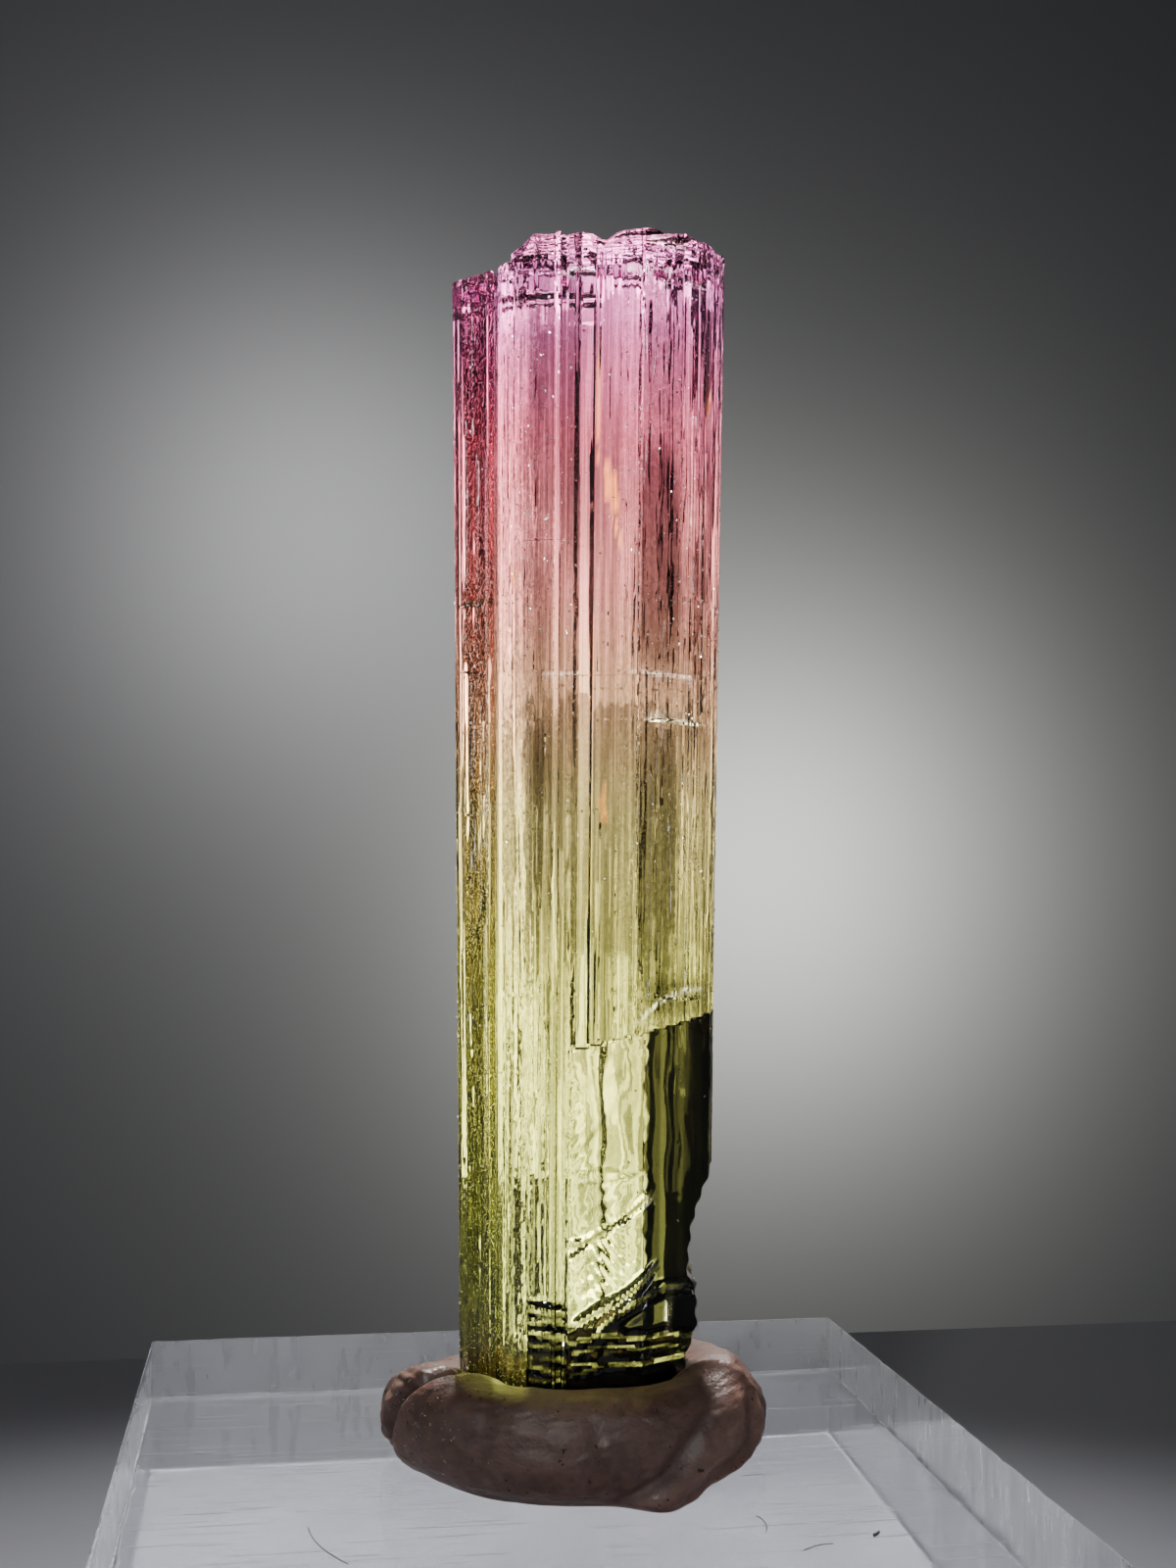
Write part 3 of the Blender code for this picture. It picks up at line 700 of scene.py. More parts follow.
def crystal_mesh():
    side, depth, level = side_wall()
    rows, count = side.shape
    front = depth < -0.5
    glassy = front & broken_away(side, level)
    # Each facet's painted shade from the section's last column; the front gets its own below.
    clear = np.tile(LINES[:, 8], (rows, 1))
    plain_top = 1.0 - 0.7 * soft_step((level - RIM_START) / 0.8)
    ruled = np.tile(np.clip(LINES[:, 6] / FULL_RELIEF, 0.0, 1.0), (rows, 1))
    skin = {
        "grain": np.where(glassy, 0.05, np.tile(LINES[:, 7], (rows, 1)) * plain_top),
        "ruled": np.where(glassy, 0.0, ruled * plain_top),
        "clear": np.where(front, front_painted_shade(side, level, clear), clear),
        "stain": np.where(depth < -2.0, stained(side, level), 0.0),
        "flash": np.where(depth < -2.0, flashing(side, level), 0.0),
    }
    skin = {name: values.ravel() for name, values in skin.items()}
    points = np.column_stack((side.ravel(), depth.ravel(), level.ravel()))
    here = np.arange(count)
    after = (here + 1) % count
    faces = []
    for row in range(rows - 1):
        low, high = row * count, (row + 1) * count
        faces += np.column_stack((low + here, low + after, high + after, high + here)).tolist()
    ends = (
        (0, 0.9, lambda a, b: np.full_like(a, FOOT_LEVEL) + 0.2 * cell_value(a, b, 7), True),
        (rows - 1, 0.15, top_level, False),
    )
    for row, spacing, height, downwards in ends:
        ring = np.column_stack((side[row], depth[row]))
        places, heights, triangles, keys = cap(ring, spacing, height)
        number = {}
        extra = []
        for index, key in enumerate(keys):
            if 0 <= key < count:
                number[index] = row * count + key
            else:
                number[index] = len(points) + len(extra)
                extra.append((*places[index], heights[index]))
        points = np.vstack((points, np.array(extra)))
        for name, plain in CAP_FINISH.items():
            skin[name] = np.concatenate((skin[name], np.full(len(extra), plain)))
        for triangle in triangles:
            corners = [number[index] for index in triangle]
            faces.append(corners[::-1] if downwards else corners)
    return points, faces, skin


points, faces, skin = crystal_mesh()
print("the skin has", len(points), "points and", len(faces), "faces")

# %% [markdown]
# ## Cracks inside the crystal
#
# A crack in clear stone is a thin gap of air that mirrors the light at a low angle. A flat plane
# with its own material would need a trick to look like one. A closed lens of air, with its faces
# turned into the gap, bends and mirrors light as a real crack does.

# %% Thin gaps inside, then the finished crystal
CRACKS = [
    ((0.9, -3.7, 46.55), (2.6, 0.85), (4.0, 1.0)),
    ((3.5, -3.3, 44.60), (1.3, 0.75), (-6.0, -2.0)),
    ((3.7, -3.1, 32.75), (1.5, 0.95), (5.0, 3.0)),
    ((-1.9, -3.4, 52.40), (1.0, 0.90), (8.0, 2.0)),
    ((-4.7, -1.6, 49.90), (0.8, 0.70), (-10.0, 6.0)),
    ((-4.8, -1.7, 46.80), (0.7, 0.60), (12.0, -8.0)),
]
CRACK_GAP = 0.006
CRACK_STEPS = 40
CRACK_RINGS = (1.0, 0.82, 0.55, 0.25)


def add_cracks(shell):
    """Thin lens-shaped gaps inside the crystal, with their faces turned into the gap."""
    for index, (centre, reach, (nod, roll)) in enumerate(CRACKS):
        rings = []
        for share in CRACK_RINGS:
            ring = []
            for step in range(CRACK_STEPS):
                turn = math.tau * step / CRACK_STEPS
                ragged = 1.0 + 0.10 * math.sin(turn * 3 + index) + 0.05 * math.sin(turn * 7 + index)
                ring.append((reach[0] * share * ragged * math.cos(turn),
                             reach[1] * share * ragged * math.sin(turn), share))
            rings.append(ring)
        sheets = []
        for sign in (1, -1):
            rows = []
            for ring in rings:
                row = []
                for a, b, share in ring:
                    if share == 1.0 and sign == -1:
                        continue
                    lift = sign * CRACK_GAP * (1.0 - share) + 0.03 * math.sin(a * 2.1 + b * 3.0)
                    level = centre[2] + lift + a * math.tan(math.radians(roll))
                    level += b * math.tan(math.radians(nod))
                    spot = placed([(centre[0] + a, centre[1] + b, level)])[0]
                    row.append(shell.verts.new(spot))
                rows.append(row)
            if sign == -1:
                rows[0] = sheets[0][0]
            middle = placed([(centre[0], centre[1], centre[2] + sign * CRACK_GAP)])[0]
            tip = shell.verts.new(middle)
            sheets.append(rows)
            for outer, inner in zip(rows, rows[1:]):
                for step in range(CRACK_STEPS):
                    after = (step + 1) % CRACK_STEPS
                    corners = (outer[step], outer[after], inner[after], inner[step])
                    shell.faces.new(corners[::-1] if sign == 1 else corners)
            for step in range(CRACK_STEPS):
                corners = (rows[-1][step], rows[-1][(step + 1) % CRACK_STEPS], tip)
                shell.faces.new(corners[::-1] if sign == 1 else corners)


crystal = new_piece("tourmaline", placed(points), faces)
for name, values in skin.items():
    crystal.data.attributes.new(name, "FLOAT", "POINT").data.foreach_set("value", values)
shell = bmesh.new()
shell.from_mesh(crystal.data)
bmesh.ops.dissolve_degenerate(shell, dist=1e-7, edges=shell.edges)
bmesh.ops.recalc_face_normals(shell, faces=shell.faces)
open_edges = sum(1 for edge in shell.edges if len(edge.link_faces) != 2)
print("crystal volume", round(shell.calc_volume() * 1e9), "mm3, open edges", open_edges)
add_cracks(shell)
shell.to_mesh(crystal.data)
shell.free()
crystal.data.shade_smooth()
crystal.data.set_sharp_from_angle(angle=math.radians(22))
crystal.data.calc_loop_triangles()
print("crystal triangles", len(crystal.data.loop_triangles))

# %% [markdown]
# ## Material tools
#
# Every finish below is a Principled shader with a few nodes in front of it. The same few come
# back each time: noise, a ramp, a mix, a bump. One small helper for each takes and gives
# sockets, so a material reads as a short list of what it is made of.

# %% Node helpers
def feed(material, node, values):
    """Links or sets each named input of a node."""
    for key, value in values.items():
        if isinstance(value, bpy.types.NodeSocket):
            material.node_tree.links.new(value, node.inputs[key])
        else:
            node.inputs[key].default_value = value


def add_node(material, kind, values=None, **settings):
    """Adds a node, sets its properties, and links or sets its inputs."""
    node = material.node_tree.nodes.new(kind)
    for key, value in settings.items():
        setattr(node, key, value)
    feed(material, node, values or {})
    return node


def new_material(name):
    """A material with its shader, and the place on the object as a socket."""
    material = bpy.data.materials.new(name)
    material.use_nodes = True
    place = add_node(material, "ShaderNodeTexCoord").outputs["Object"]
    return material, material.node_tree.nodes["Principled BSDF"], place


def ramp(material, factor, stops):
    """A colour ramp with the stops given as (place, colour or grey)."""
    node = add_node(material, "ShaderNodeValToRGB", {"Fac": factor})
    elements = node.color_ramp.elements
    while len(elements) < len(stops):
        elements.new(0.5)
    for element, (position, colour) in zip(elements, stops):
        element.position = position
        grey = isinstance(colour, (int, float))
        element.color = (colour,) * 3 + (1.0,) if grey else (*colour, 1.0)
    return node.outputs["Color"]


def mixed(material, share, first, second, blend="MIX"):
    """Two colours mixed, or blended in another way, by a share."""
    node = add_node(material, "ShaderNodeMix", data_type="RGBA", blend_type=blend)
    for key, value in (("Factor", share), ("A", first), ("B", second)):
        kind = "VALUE" if key == "Factor" else "RGBA"
        socket = next(s for s in node.inputs if s.name == key and s.type == kind)
        if isinstance(value, bpy.types.NodeSocket):
            material.node_tree.links.new(value, socket)
        else:
            socket.default_value = value if key == "Factor" else (*value, 1.0)
    return next(s for s in node.outputs if s.type == "RGBA")


def multiplied(material, first, second, share=1.0):
    return mixed(material, share, first, second, "MULTIPLY")


def noisy(material, place, scale, detail=2.0, output="Fac"):
    """A noise value at each place."""
    values = {"Vector": place, "Scale": scale, "Detail": detail}
    return add_node(material, "ShaderNodeTexNoise", values).outputs[output]


def scaled(material, place, scale, turn=(0.0, 0.0, 0.0)):
    """The place turned and scaled, so that a pattern on it gets long in one direction."""
    values = {"Vector": place, "Scale": scale, "Rotation": turn}
    return add_node(material, "ShaderNodeMapping", values).outputs["Vector"]


def skin_value(material, name):
    """The value that the mesh carries under a name on its points."""
    return add_node(material, "ShaderNodeAttribute", attribute_name=name).outputs["Fac"]


def bumped(material, height, strength, distance, under=None):
    """A bumped direction, on top of another one if it is given."""
    values = {"Height": height, "Strength": strength, "Distance": distance}
    if under is not None:
        values["Normal"] = under
    return add_node(material, "ShaderNodeBump", values).outputs["Normal"]


def part_of(material, vector, axis):
    return add_node(material, "ShaderNodeSeparateXYZ", {"Vector": vector}).outputs[axis]


def height_share(material, place):
    """The share of the way up from the block's top to the crystal's."""
    return add_node(
        material, "ShaderNodeMapRange",
        {"Value": part_of(material, place, "Z"), "From Min": BLOCK_HIGH.z, "From Max": CRYSTAL_HIGH.z},
    ).outputs["Result"]


print("colours are mixed by", mixed.__name__, "and", multiplied.__name__)

# %% [markdown]
# ## The crystal's colour, clarity and painted shade
#
# The crystal began to grow yellow-green and ended pink, so its colour follows its height. It is
# clear, so light passes through: full transmission, tourmaline's refractive index, a tint on
# the surface that follows the height, and a weak plain absorption inside that darkens the long
# light paths. The tint is multiplied by fine dark hairlines and bands, painted shade along the
# ruled growth faces, by painted glitter, a darkened ground with lighter specks, where they are
# pitted, and by the painted shade that the skin carries. The stains and the bright crack rims,
# painted highlights, are mixed in last.

# %% Tourmaline material
TOURMALINE_COLOURS = [
    (0.00, (0.30, 0.28, 0.06)), (0.10, (0.64, 0.66, 0.13)), (0.16, (0.86, 0.94, 0.20)),
    (0.42, (0.90, 0.86, 0.18)), (0.56, (0.96, 0.78, 0.26)), (0.64, (0.97, 0.56, 0.28)),
    (0.74, (0.98, 0.34, 0.28)), (0.88, (1.00, 0.20, 0.30)), (0.97, (1.00, 0.21, 0.48)),
    (1.00, (1.00, 0.25, 0.66)),
]
STAIN_COLOUR, FLASH_COLOUR = (1.0, 0.30, 0.035), (1.0, 0.97, 0.84)
TOURMALINE_IOR = 1.63


def tourmaline_material():
    material, shader, place = new_material("bicolour_tourmaline")
    shifted = add_node(
        material, "ShaderNodeMath",
        {0: noisy(material, place, 90.0), 1: 0.07, 2: height_share(material, place)},
        operation="MULTIPLY_ADD",
    ).outputs["Value"]
    colour = ramp(material, shifted, TOURMALINE_COLOURS)
    stretched = scaled(material, place, (1.0, 1.0, 0.02))
    streaks = noisy(material, stretched, 5200.0)
    grain = add_node(
        material, "ShaderNodeTexVoronoi",
        {"Vector": scaled(material, place, (1.0, 1.0, 0.6)), "Scale": 8000.0},
    ).outputs["Color"]
    chance = part_of(material, grain, "X")
    pitted, clear = skin_value(material, "grain"), skin_value(material, "clear")
    pits = add_node(
        material, "ShaderNodeMath", {0: chance, 1: pitted}, operation="MULTIPLY"
    ).outputs["Value"]
    # Painted shade: dark hairlines and bands along the ruled growth faces.
    hairline_shade = ramp(material, streaks, [(0.42, 0.30), (0.51, 0.48), (0.57, 1.0)])
    band_shade = ramp(material, noisy(material, stretched, 2600.0), [(0.38, 0.50), (0.56, 1.0)])
    # Painted glitter: the pitted ground darkened, with lighter specks.
    painted_glitter = ramp(material, chance, [(0.0, 0.45), (0.55, 0.65), (0.72, 1.0)])
    lined = mixed(material, skin_value(material, "ruled"), (1.0, 1.0, 1.0),
                  multiplied(material, hairline_shade, band_shade))
    glitter_and_lines = mixed(material, 0.5, painted_glitter, multiplied(material, lined, painted_glitter))
    speckled = mixed(material, pitted, lined, glitter_and_lines)
    # The painted shade that the skin carries darkens the colour here.
    shaded = multiplied(material, multiplied(material, colour, speckled), clear)
    rusty = multiplied(material, STAIN_COLOUR, clear, 0.5)
    shaded = mixed(material, skin_value(material, "stain"), shaded, rusty)
    shaded = mixed(material, skin_value(material, "flash"), shaded, FLASH_COLOUR)
    ridged = bumped(material, streaks, 0.25, 0.00001)
    streak_rough = ramp(material, streaks, [(0.35, 0.01), (0.7, 0.05)])
    grain_rough = ramp(material, chance, [(0.5, 0.02), (0.8, 0.10)])
    feed(material, shader, {
        "Base Color": shaded,
        "Roughness": mixed(material, pitted, streak_rough, grain_rough),
        "Normal": bumped(material, pits, 0.65, 0.00003, ridged),
        "IOR": TOURMALINE_IOR,
        "Transmission Weight": 1.0,
    })
    inside = add_node(
        material, "ShaderNodeVolumeAbsorption", {"Color": (0.86, 0.80, 0.68, 1.0), "Density": 25.0}
    )
    feed(material, material.node_tree.nodes["Material Output"], {"Volume": inside.outputs["Volume"]})
    return material


crystal.data.materials.append(tourmaline_material())
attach(crystal, "root")
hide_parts("tourmaline_crystal")
print("tourmaline has", len(crystal.data.materials[0].node_tree.nodes), "nodes")

# %% [markdown]
# ## Glinting specks
#
# Each pitted facet glitters with thousands of tiny chips and dust grains. Placing them by hand
# is hopeless, so a Geometry Nodes tree strews them: it scatters points over the faces, more of
# them where the grain value is high, sets a small turned flake on each and joins the result.
# The flakes mirror the lamps like metal, because a chip's face is a mirror at the right angle.

# %% A scattering tree
def scatter_tree():
    """Strews small flakes over a mesh, denser where its grain attribute is higher."""
    tree = bpy.data.node_groups.new("strew_flakes", "GeometryNodeTree")
    sockets = [
        ("Geometry", "NodeSocketGeometry"), ("Flake", "NodeSocketObject"),
        ("Per Square Metre", "NodeSocketFloat"), ("Smallest", "NodeSocketFloat"),
        ("Largest", "NodeSocketFloat"), ("Seed", "NodeSocketInt"),
        ("Finish", "NodeSocketMaterial"),
    ]
    for name, kind in sockets:
        tree.interface.new_socket(name, in_out="INPUT", socket_type=kind)
    tree.interface.new_socket("Geometry", in_out="OUTPUT", socket_type="NodeSocketGeometry")

    def node(kind, **settings):
        made = tree.nodes.new(kind)
        for key, value in settings.items():
            setattr(made, key, value)
        return made

    entry = node("NodeGroupInput")
    grain = node("GeometryNodeInputNamedAttribute", data_type="FLOAT")
    grain.inputs["Name"].default_value = "grain"
    density = node("ShaderNodeMath", operation="MULTIPLY")
    points = node("GeometryNodeDistributePointsOnFaces", distribute_method="RANDOM")
    flake = node("GeometryNodeObjectInfo")
    size = node("FunctionNodeRandomValue", data_type="FLOAT")
    turn = node("FunctionNodeRandomValue", data_type="FLOAT_VECTOR")
    turn.inputs["Max"].default_value = (math.tau, math.tau, math.tau)
    rotation = node("FunctionNodeEulerToRotation")
    strewn = node("GeometryNodeInstanceOnPoints")
    real = node("GeometryNodeRealizeInstances")
    finish = node("GeometryNodeSetMaterial")
    leave = node("NodeGroupOutput")
    small, large = [s for s in size.inputs if s.type == "VALUE" and s.enabled][:2]
    size_out = [s for s in size.outputs if s.type == "VALUE"][0]
    for source, target in (
        (entry.outputs["Geometry"], points.inputs["Mesh"]),
        (entry.outputs["Per Square Metre"], density.inputs[0]),
        (grain.outputs["Attribute"], density.inputs[1]),
        (density.outputs["Value"], points.inputs["Density"]),
        (entry.outputs["Seed"], points.inputs["Seed"]),
        (entry.outputs["Flake"], flake.inputs["Object"]),
        (entry.outputs["Smallest"], small),
        (entry.outputs["Largest"], large),
        (entry.outputs["Seed"], size.inputs["Seed"]),
        (turn.outputs["Value"], rotation.inputs["Euler"]),
        (points.outputs["Points"], strewn.inputs["Points"]),
        (flake.outputs["Geometry"], strewn.inputs["Instance"]),
        (rotation.outputs["Rotation"], strewn.inputs["Rotation"]),
        (size_out, strewn.inputs["Scale"]),
        (strewn.outputs["Instances"], real.inputs["Geometry"]),
        (real.outputs["Geometry"], finish.inputs["Geometry"]),
        (entry.outputs["Finish"], finish.inputs["Material"]),
        (finish.outputs["Geometry"], leave.inputs["Geometry"]),
    ):
        tree.links.new(source, target)
    return tree


SCATTER = scatter_tree()
print("the scattering tree has", len(SCATTER.nodes), "nodes")


# %% Specks on the crystal
def strewn_piece(name, host_mesh, per_square_mm, sizes, seed, material, stretch=(1.0, 1.0, 1.0)):
    """A mesh of flakes strewn over a copy of the host, as one finished piece."""
    seedling = bmesh.new()
    bmesh.ops.create_icosphere(seedling, subdivisions=1, radius=1.0)
    bmesh.ops.scale(seedling, vec=stretch, verts=seedling.verts)
    for vertex in seedling.verts:
        vertex.co *= 0.75 + 0.5 * float(cell_value(vertex.co.x * 3, vertex.co.y * 5, seed))
    flake_mesh = bpy.data.meshes.new(name + "_flake")
    seedling.to_mesh(flake_mesh)
    seedling.free()
    flake = bpy.data.objects.new(name + "_flake", flake_mesh)
    carrier = bpy.data.objects.new(name + "_carrier", host_mesh.copy())
    bpy.context.scene.collection.objects.link(flake)
    bpy.context.scene.collection.objects.link(carrier)
    modifier = carrier.modifiers.new("strew", "NODES")
    modifier.node_group = SCATTER
    values = {
        "Flake": flake, "Per Square Metre": per_square_mm / MM ** 2, "Smallest": sizes[0] * MM,
        "Largest": sizes[1] * MM, "Seed": seed, "Finish": material,
    }
    for item in SCATTER.interface.items_tree:
        if item.in_out == "INPUT" and item.name in values:
            modifier[item.identifier] = values[item.name]
    ready = carrier.evaluated_get(bpy.context.evaluated_depsgraph_get())
    mesh = bpy.data.meshes.new_from_object(ready)
    mesh.name = name
    carrier.modifiers.clear()
    bpy.data.objects.remove(carrier)
    bpy.data.objects.remove(flake)
    piece = bpy.data.objects.new(name, mesh)
    bpy.context.scene.collection.objects.link(piece)
    print(name, "has", len(mesh.polygons), "faces")
    return piece


def glint_material():
    material, shader, place = new_material("pale_glints")
    colour = ramp(material, height_share(material, place), [
        (0.0, (0.95, 0.95, 0.62)), (0.5, (1.0, 0.92, 0.66)), (0.75, (1.0, 0.82, 0.80)),
        (1.0, (1.0, 0.80, 0.95)),
    ])
    feed(material, shader, {"Base Color": colour, "Metallic": 1.0, "Roughness": 0.28})
    return material


glints = strewn_piece("surface_glints", crystal.data, 4.0, (0.035, 0.085), 5, glint_material(),
                      (1.0, 0.6, 0.25))
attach(glints, "root")

# %% [markdown]
# ## The putty
#
# A lump of mineral putty was rolled between the fingers, wrapped round the foot and pressed
# down. It is a ring whose thickness, height and lean change on the way round, with a curled end
# on the left, an overlapping fold on the right and a flare squeezed out under it. Sculpting by
# hand can't be repeated, so the ring is worked out point by point, seams and all.

# %% Ring of putty
PUTTY_BEARINGS = [-180, -165, -150, -120, -100, -80, -60, -45, -30, -15, 0, 30, 60, 90, 120, 150]
PUTTY_REACH = [8.9, 8.8, 8.9, 8.95, 8.8, 8.6, 8.6, 8.6, 8.6, 8.5, 8.4, 8.3, 8.2, 8.2, 8.3, 8.6]
PUTTY_CREST = [3.4, 4.1, 4.35, 4.3, 4.3, 4.3, 4.35, 4.4, 4.5, 4.3, 4.0, 3.7, 3.4, 3.0, 2.8, 2.8]
PUTTY_LEAN = [0.1, 0.2, 0.1, 0.0, 0.0, 0.0, 0.1, 0.3, 0.5, 0.5, 0.7, 0.7, 0.3, 0.1, 0.0, 0.0]
FOLD_OVER = [-1.6, -0.9, -0.5, -0.2, 0.1, 0.6, 1.1, 1.8, 2.6]
FOLD_BEARING = [-63, -55, -45, -34, -28, -27, -29, -33, -36]
CURL_BEARING = [-163, -161, -159, -157, -155, -151, -147, -142, -139]
CREASE_BEARING = [-96, -84, -74, -66, -60, -52, -46, -42, -42]
FLARE_BEARING, FLARE_LENGTH = -67.0, 1.9
WALL_GAP = 0.05
PUTTY_AROUND, PUTTY_OVER = 420, 150


def inner_reach(bearing):
    """How far the crystal reaches from its axis at each bearing, inside the putty."""
    side, depth, level = side_wall()
    held = level[:, 0] < BLOCK_TOP + 4.8
    side, depth = side[held].ravel(), depth[held].ravel()
    known = np.degrees(np.arctan2(depth, side))
    reach = np.hypot(side, depth)
    steps = np.arange(-180, 180, 3.0)
    near = [reach[np.abs((known - step + 180) % 360 - 180) < 5.0].max() for step in steps]
    return np.interp(bearing, steps, near, period=360) + WALL_GAP


def ring_at(bearing, values):
    return np.interp(bearing, PUTTY_BEARINGS, values, period=360)


def putty_points():
    bearing = np.linspace(-180, 180, PUTTY_AROUND, endpoint=False)[:, None]
    over = np.linspace(-math.pi, math.pi, PUTTY_OVER, endpoint=False)[None, :]
    bearing, over = np.broadcast_arrays(bearing, over)
    inner = inner_reach(bearing)
    half = (ring_at(bearing, PUTTY_REACH) - inner) / 2
    crest = ring_at(bearing, PUTTY_CREST)
    inward = np.cos(over) < 0
    round_out = np.sign(np.cos(over)) * np.abs(np.cos(over)) ** np.where(inward, 0.55, 0.8)
    round_up = np.sign(np.sin(over)) * np.abs(np.sin(over)) ** np.where(inward, 0.16, 0.85)
    outer = soft_step(np.cos(over) + 0.25)
    upper = np.clip(np.sin(over), 0, 1)
    lower = np.clip(-np.sin(over), 0, 1)
    swell = np.zeros_like(over, dtype=float)

    from_fold = bearing - np.interp(over, FOLD_OVER, FOLD_BEARING)
    behind_fold = soft_step((from_fold + 1.0) / 2.4) * (1 - soft_step((from_fold - 6) / 40))
    swell -= 1.05 * behind_fold * soft_step((over + 1.7) / 0.5)
    swell += 0.34 * bell(from_fold + 3.2, 3.2)

    from_curl = (bearing - np.interp(over, FOLD_OVER, CURL_BEARING) + 180) % 360 - 180
    swell -= 0.95 * bell(from_curl, 3.0)
    lip = bell(from_curl + 7.5, 7.0)
    swell += lip * (0.12 + 0.06 * np.sin(over * 19 + 2.0 * np.sin(bearing * 0.11)))
    swell += 0.22 * bell(from_curl - 6, 5.0)

    from_crease = bearing - np.interp(over, FOLD_OVER, CREASE_BEARING)
    swell -= 0.34 * bell(from_crease, 3.6) * bell(over + 0.1, 0.9)
    swell += 0.24 * bell(from_crease - 11, 8)
    pulls = np.sin(over * 11 + bearing * 0.16 + 1.4 * np.sin(bearing * 0.09))
    swell += 0.035 * pulls * bell(bearing + 100, 26) * bell(over + 0.1, 0.8)

    radius = inner + half + (half + swell * outer) * round_out
    flare = bell(bearing - FLARE_BEARING, 7.5) + 0.35 * bell(bearing - FLARE_BEARING - 11, 4)
    radius -= ring_at(bearing, PUTTY_LEAN) * upper * outer
    radius -= 0.75 * lower ** 2 * outer * (1 - bell(bearing - FLARE_BEARING, 16))
    radius += FLARE_LENGTH * flare * lower ** 3 * outer
    sunk = 0.35 * soft_step(-np.cos(over)) * upper
    level = BLOCK_TOP + 0.03 + (crest + 0.9 * swell * upper) / 2 * (1 + round_up) - sunk
    radius += 0.35 * bell((level - BLOCK_TOP) / 0.22, 1.0) * bell(bearing + 105, 42) * outer
    return bearing, over, radius, level, swell * outer


print("the putty reaches", inner_reach(np.array([-90.0, 0.0])).round(2), "mm from the axis inside")


# %% Lumps and wrinkles, and the finished ring
def dented(points, outer):
    """Lumps, pulled wrinkles and finger prints, worked out in the putty's own directions."""
    moved = points.copy()
    for index, (side, depth, level) in enumerate(points):
        if outer[index] < 0.02:
            continue
        spot = Vector((side, depth, level))
        lumps = noise.noise(spot * 0.55) * 0.16 + noise.noise(spot * 1.7) * 0.07
        pulled = Vector((side * 0.55 + level * 0.5, depth * 0.7, level * 2.6 - side * 0.7))
        wrinkle = noise.noise(pulled * 2.4) * 0.05 + noise.noise(spot * 7.0) * 0.012
        away = Vector((side, depth, (level - BLOCK_TOP - 2.0) * 1.2)).normalized()
        moved[index] += np.array(away) * (lumps + wrinkle) * outer[index]
    return moved


def putty_mesh():
    bearing, over, radius, level, swell = putty_points()
    turn = np.radians(bearing)
    points = np.column_stack((
        (radius * np.cos(turn)).ravel(), (radius * np.sin(turn)).ravel(), level.ravel()
    ))
    free = soft_step((level - BLOCK_TOP - 0.05) / 0.5) * soft_step((np.cos(over) + 0.75) / 0.5)
    points = dented(points, free.ravel())
    points[:, 2] = np.maximum(points[:, 2], BLOCK_TOP + 0.02)
    faces = []
    for ring in range(PUTTY_AROUND):
        here, after = ring * PUTTY_OVER, (ring + 1) % PUTTY_AROUND * PUTTY_OVER
        for step in range(PUTTY_OVER):
            up = (step + 1) % PUTTY_OVER
            faces.append((here + step, after + step, after + up, here + up))
    return points, faces, swell.ravel()


points, faces, swell = putty_mesh()
putty = new_piece("putty_ring", placed(points), faces)
putty.data.attributes.new("swell", "FLOAT", "POINT").data.foreach_set("value", swell)
shoulder = bell((points[:, 0] + 6.6) / 1.6, 1.0) * bell((points[:, 2] - 15.9) / 1.3, 1.0)
shoulder = shoulder * (points[:, 1] < 1.0)
putty.data.attributes.new("grain", "FLOAT", "POINT").data.foreach_set("value", shoulder)
print("putty volume", faced_outwards(putty.data), "mm3 in", len(putty.data.polygons), "faces")

# %% [markdown]
# ## The putty's finish
#
# Mineral putty is a dull brown wax-like rubber. It is satin where it was rubbed and glossier
# where it was stretched thin, it lets a little light in, and it picks up dust and dark grit.
# Layered noise gives the cloudy tone, a value on the mesh paints shade into its creases and
# light onto its raised folds, and the tree that strewed the crystal's flakes strews bright dust
# on the putty's left shoulder.

# %% Putty material
PUTTY_DARK, PUTTY_MID = (0.13, 0.066, 0.050), (0.19, 0.104, 0.080)
PUTTY_LIGHT = (0.27, 0.16, 0.125)
GRIT_COLOUR = (0.05, 0.025, 0.02)


def putty_material():
    material, shader, place = new_material("mineral_putty_brown")
    cloud = noisy(material, place, 260.0, 5.0)
    tone = ramp(material, cloud, [(0.30, PUTTY_DARK), (0.50, PUTTY_MID), (0.72, PUTTY_LIGHT)])
    grit = ramp(material, noisy(material, place, 3400.0, 1.0), [(0.70, 0.0), (0.74, 1.0)])
    mottle = ramp(material, noisy(material, place, 1900.0, 5.0), [(0.3, 0.55), (0.7, 1.45)])
    # Painted shade in the creases and painted light on the raised folds.
    raised = add_node(
        material, "ShaderNodeMath", {0: skin_value(material, "swell"), 1: 0.5, 2: 0.5},
        operation="MULTIPLY_ADD",
    ).outputs["Value"]
    crease_painted_shade = ramp(material, raised, [(0.15, 0.45), (0.48, 0.95), (0.62, 1.5)])
    painted_crease_tone = multiplied(material, multiplied(material, tone, mottle, 0.55), crease_painted_shade)
    streak_place = scaled(material, place, (0.6, 0.6, 3.0), (0.0, 0.5, 0.0))
    pulled = bumped(material, noisy(material, streak_place, 900.0, 4.0), 0.5, 0.00006)
    feed(material, shader, {
        "Base Color": mixed(material, grit, painted_crease_tone, GRIT_COLOUR),
        "Roughness": ramp(material, cloud, [(0.35, 0.34), (0.65, 0.52)]),
        "Normal": bumped(material, noisy(material, place, 7000.0), 0.8, 0.00005, pulled),
        "IOR": 1.5,
        "Subsurface Weight": 0.12,
        "Subsurface Radius": (1.0, 0.6, 0.45),
        "Subsurface Scale": 0.0006,
    })
    return material


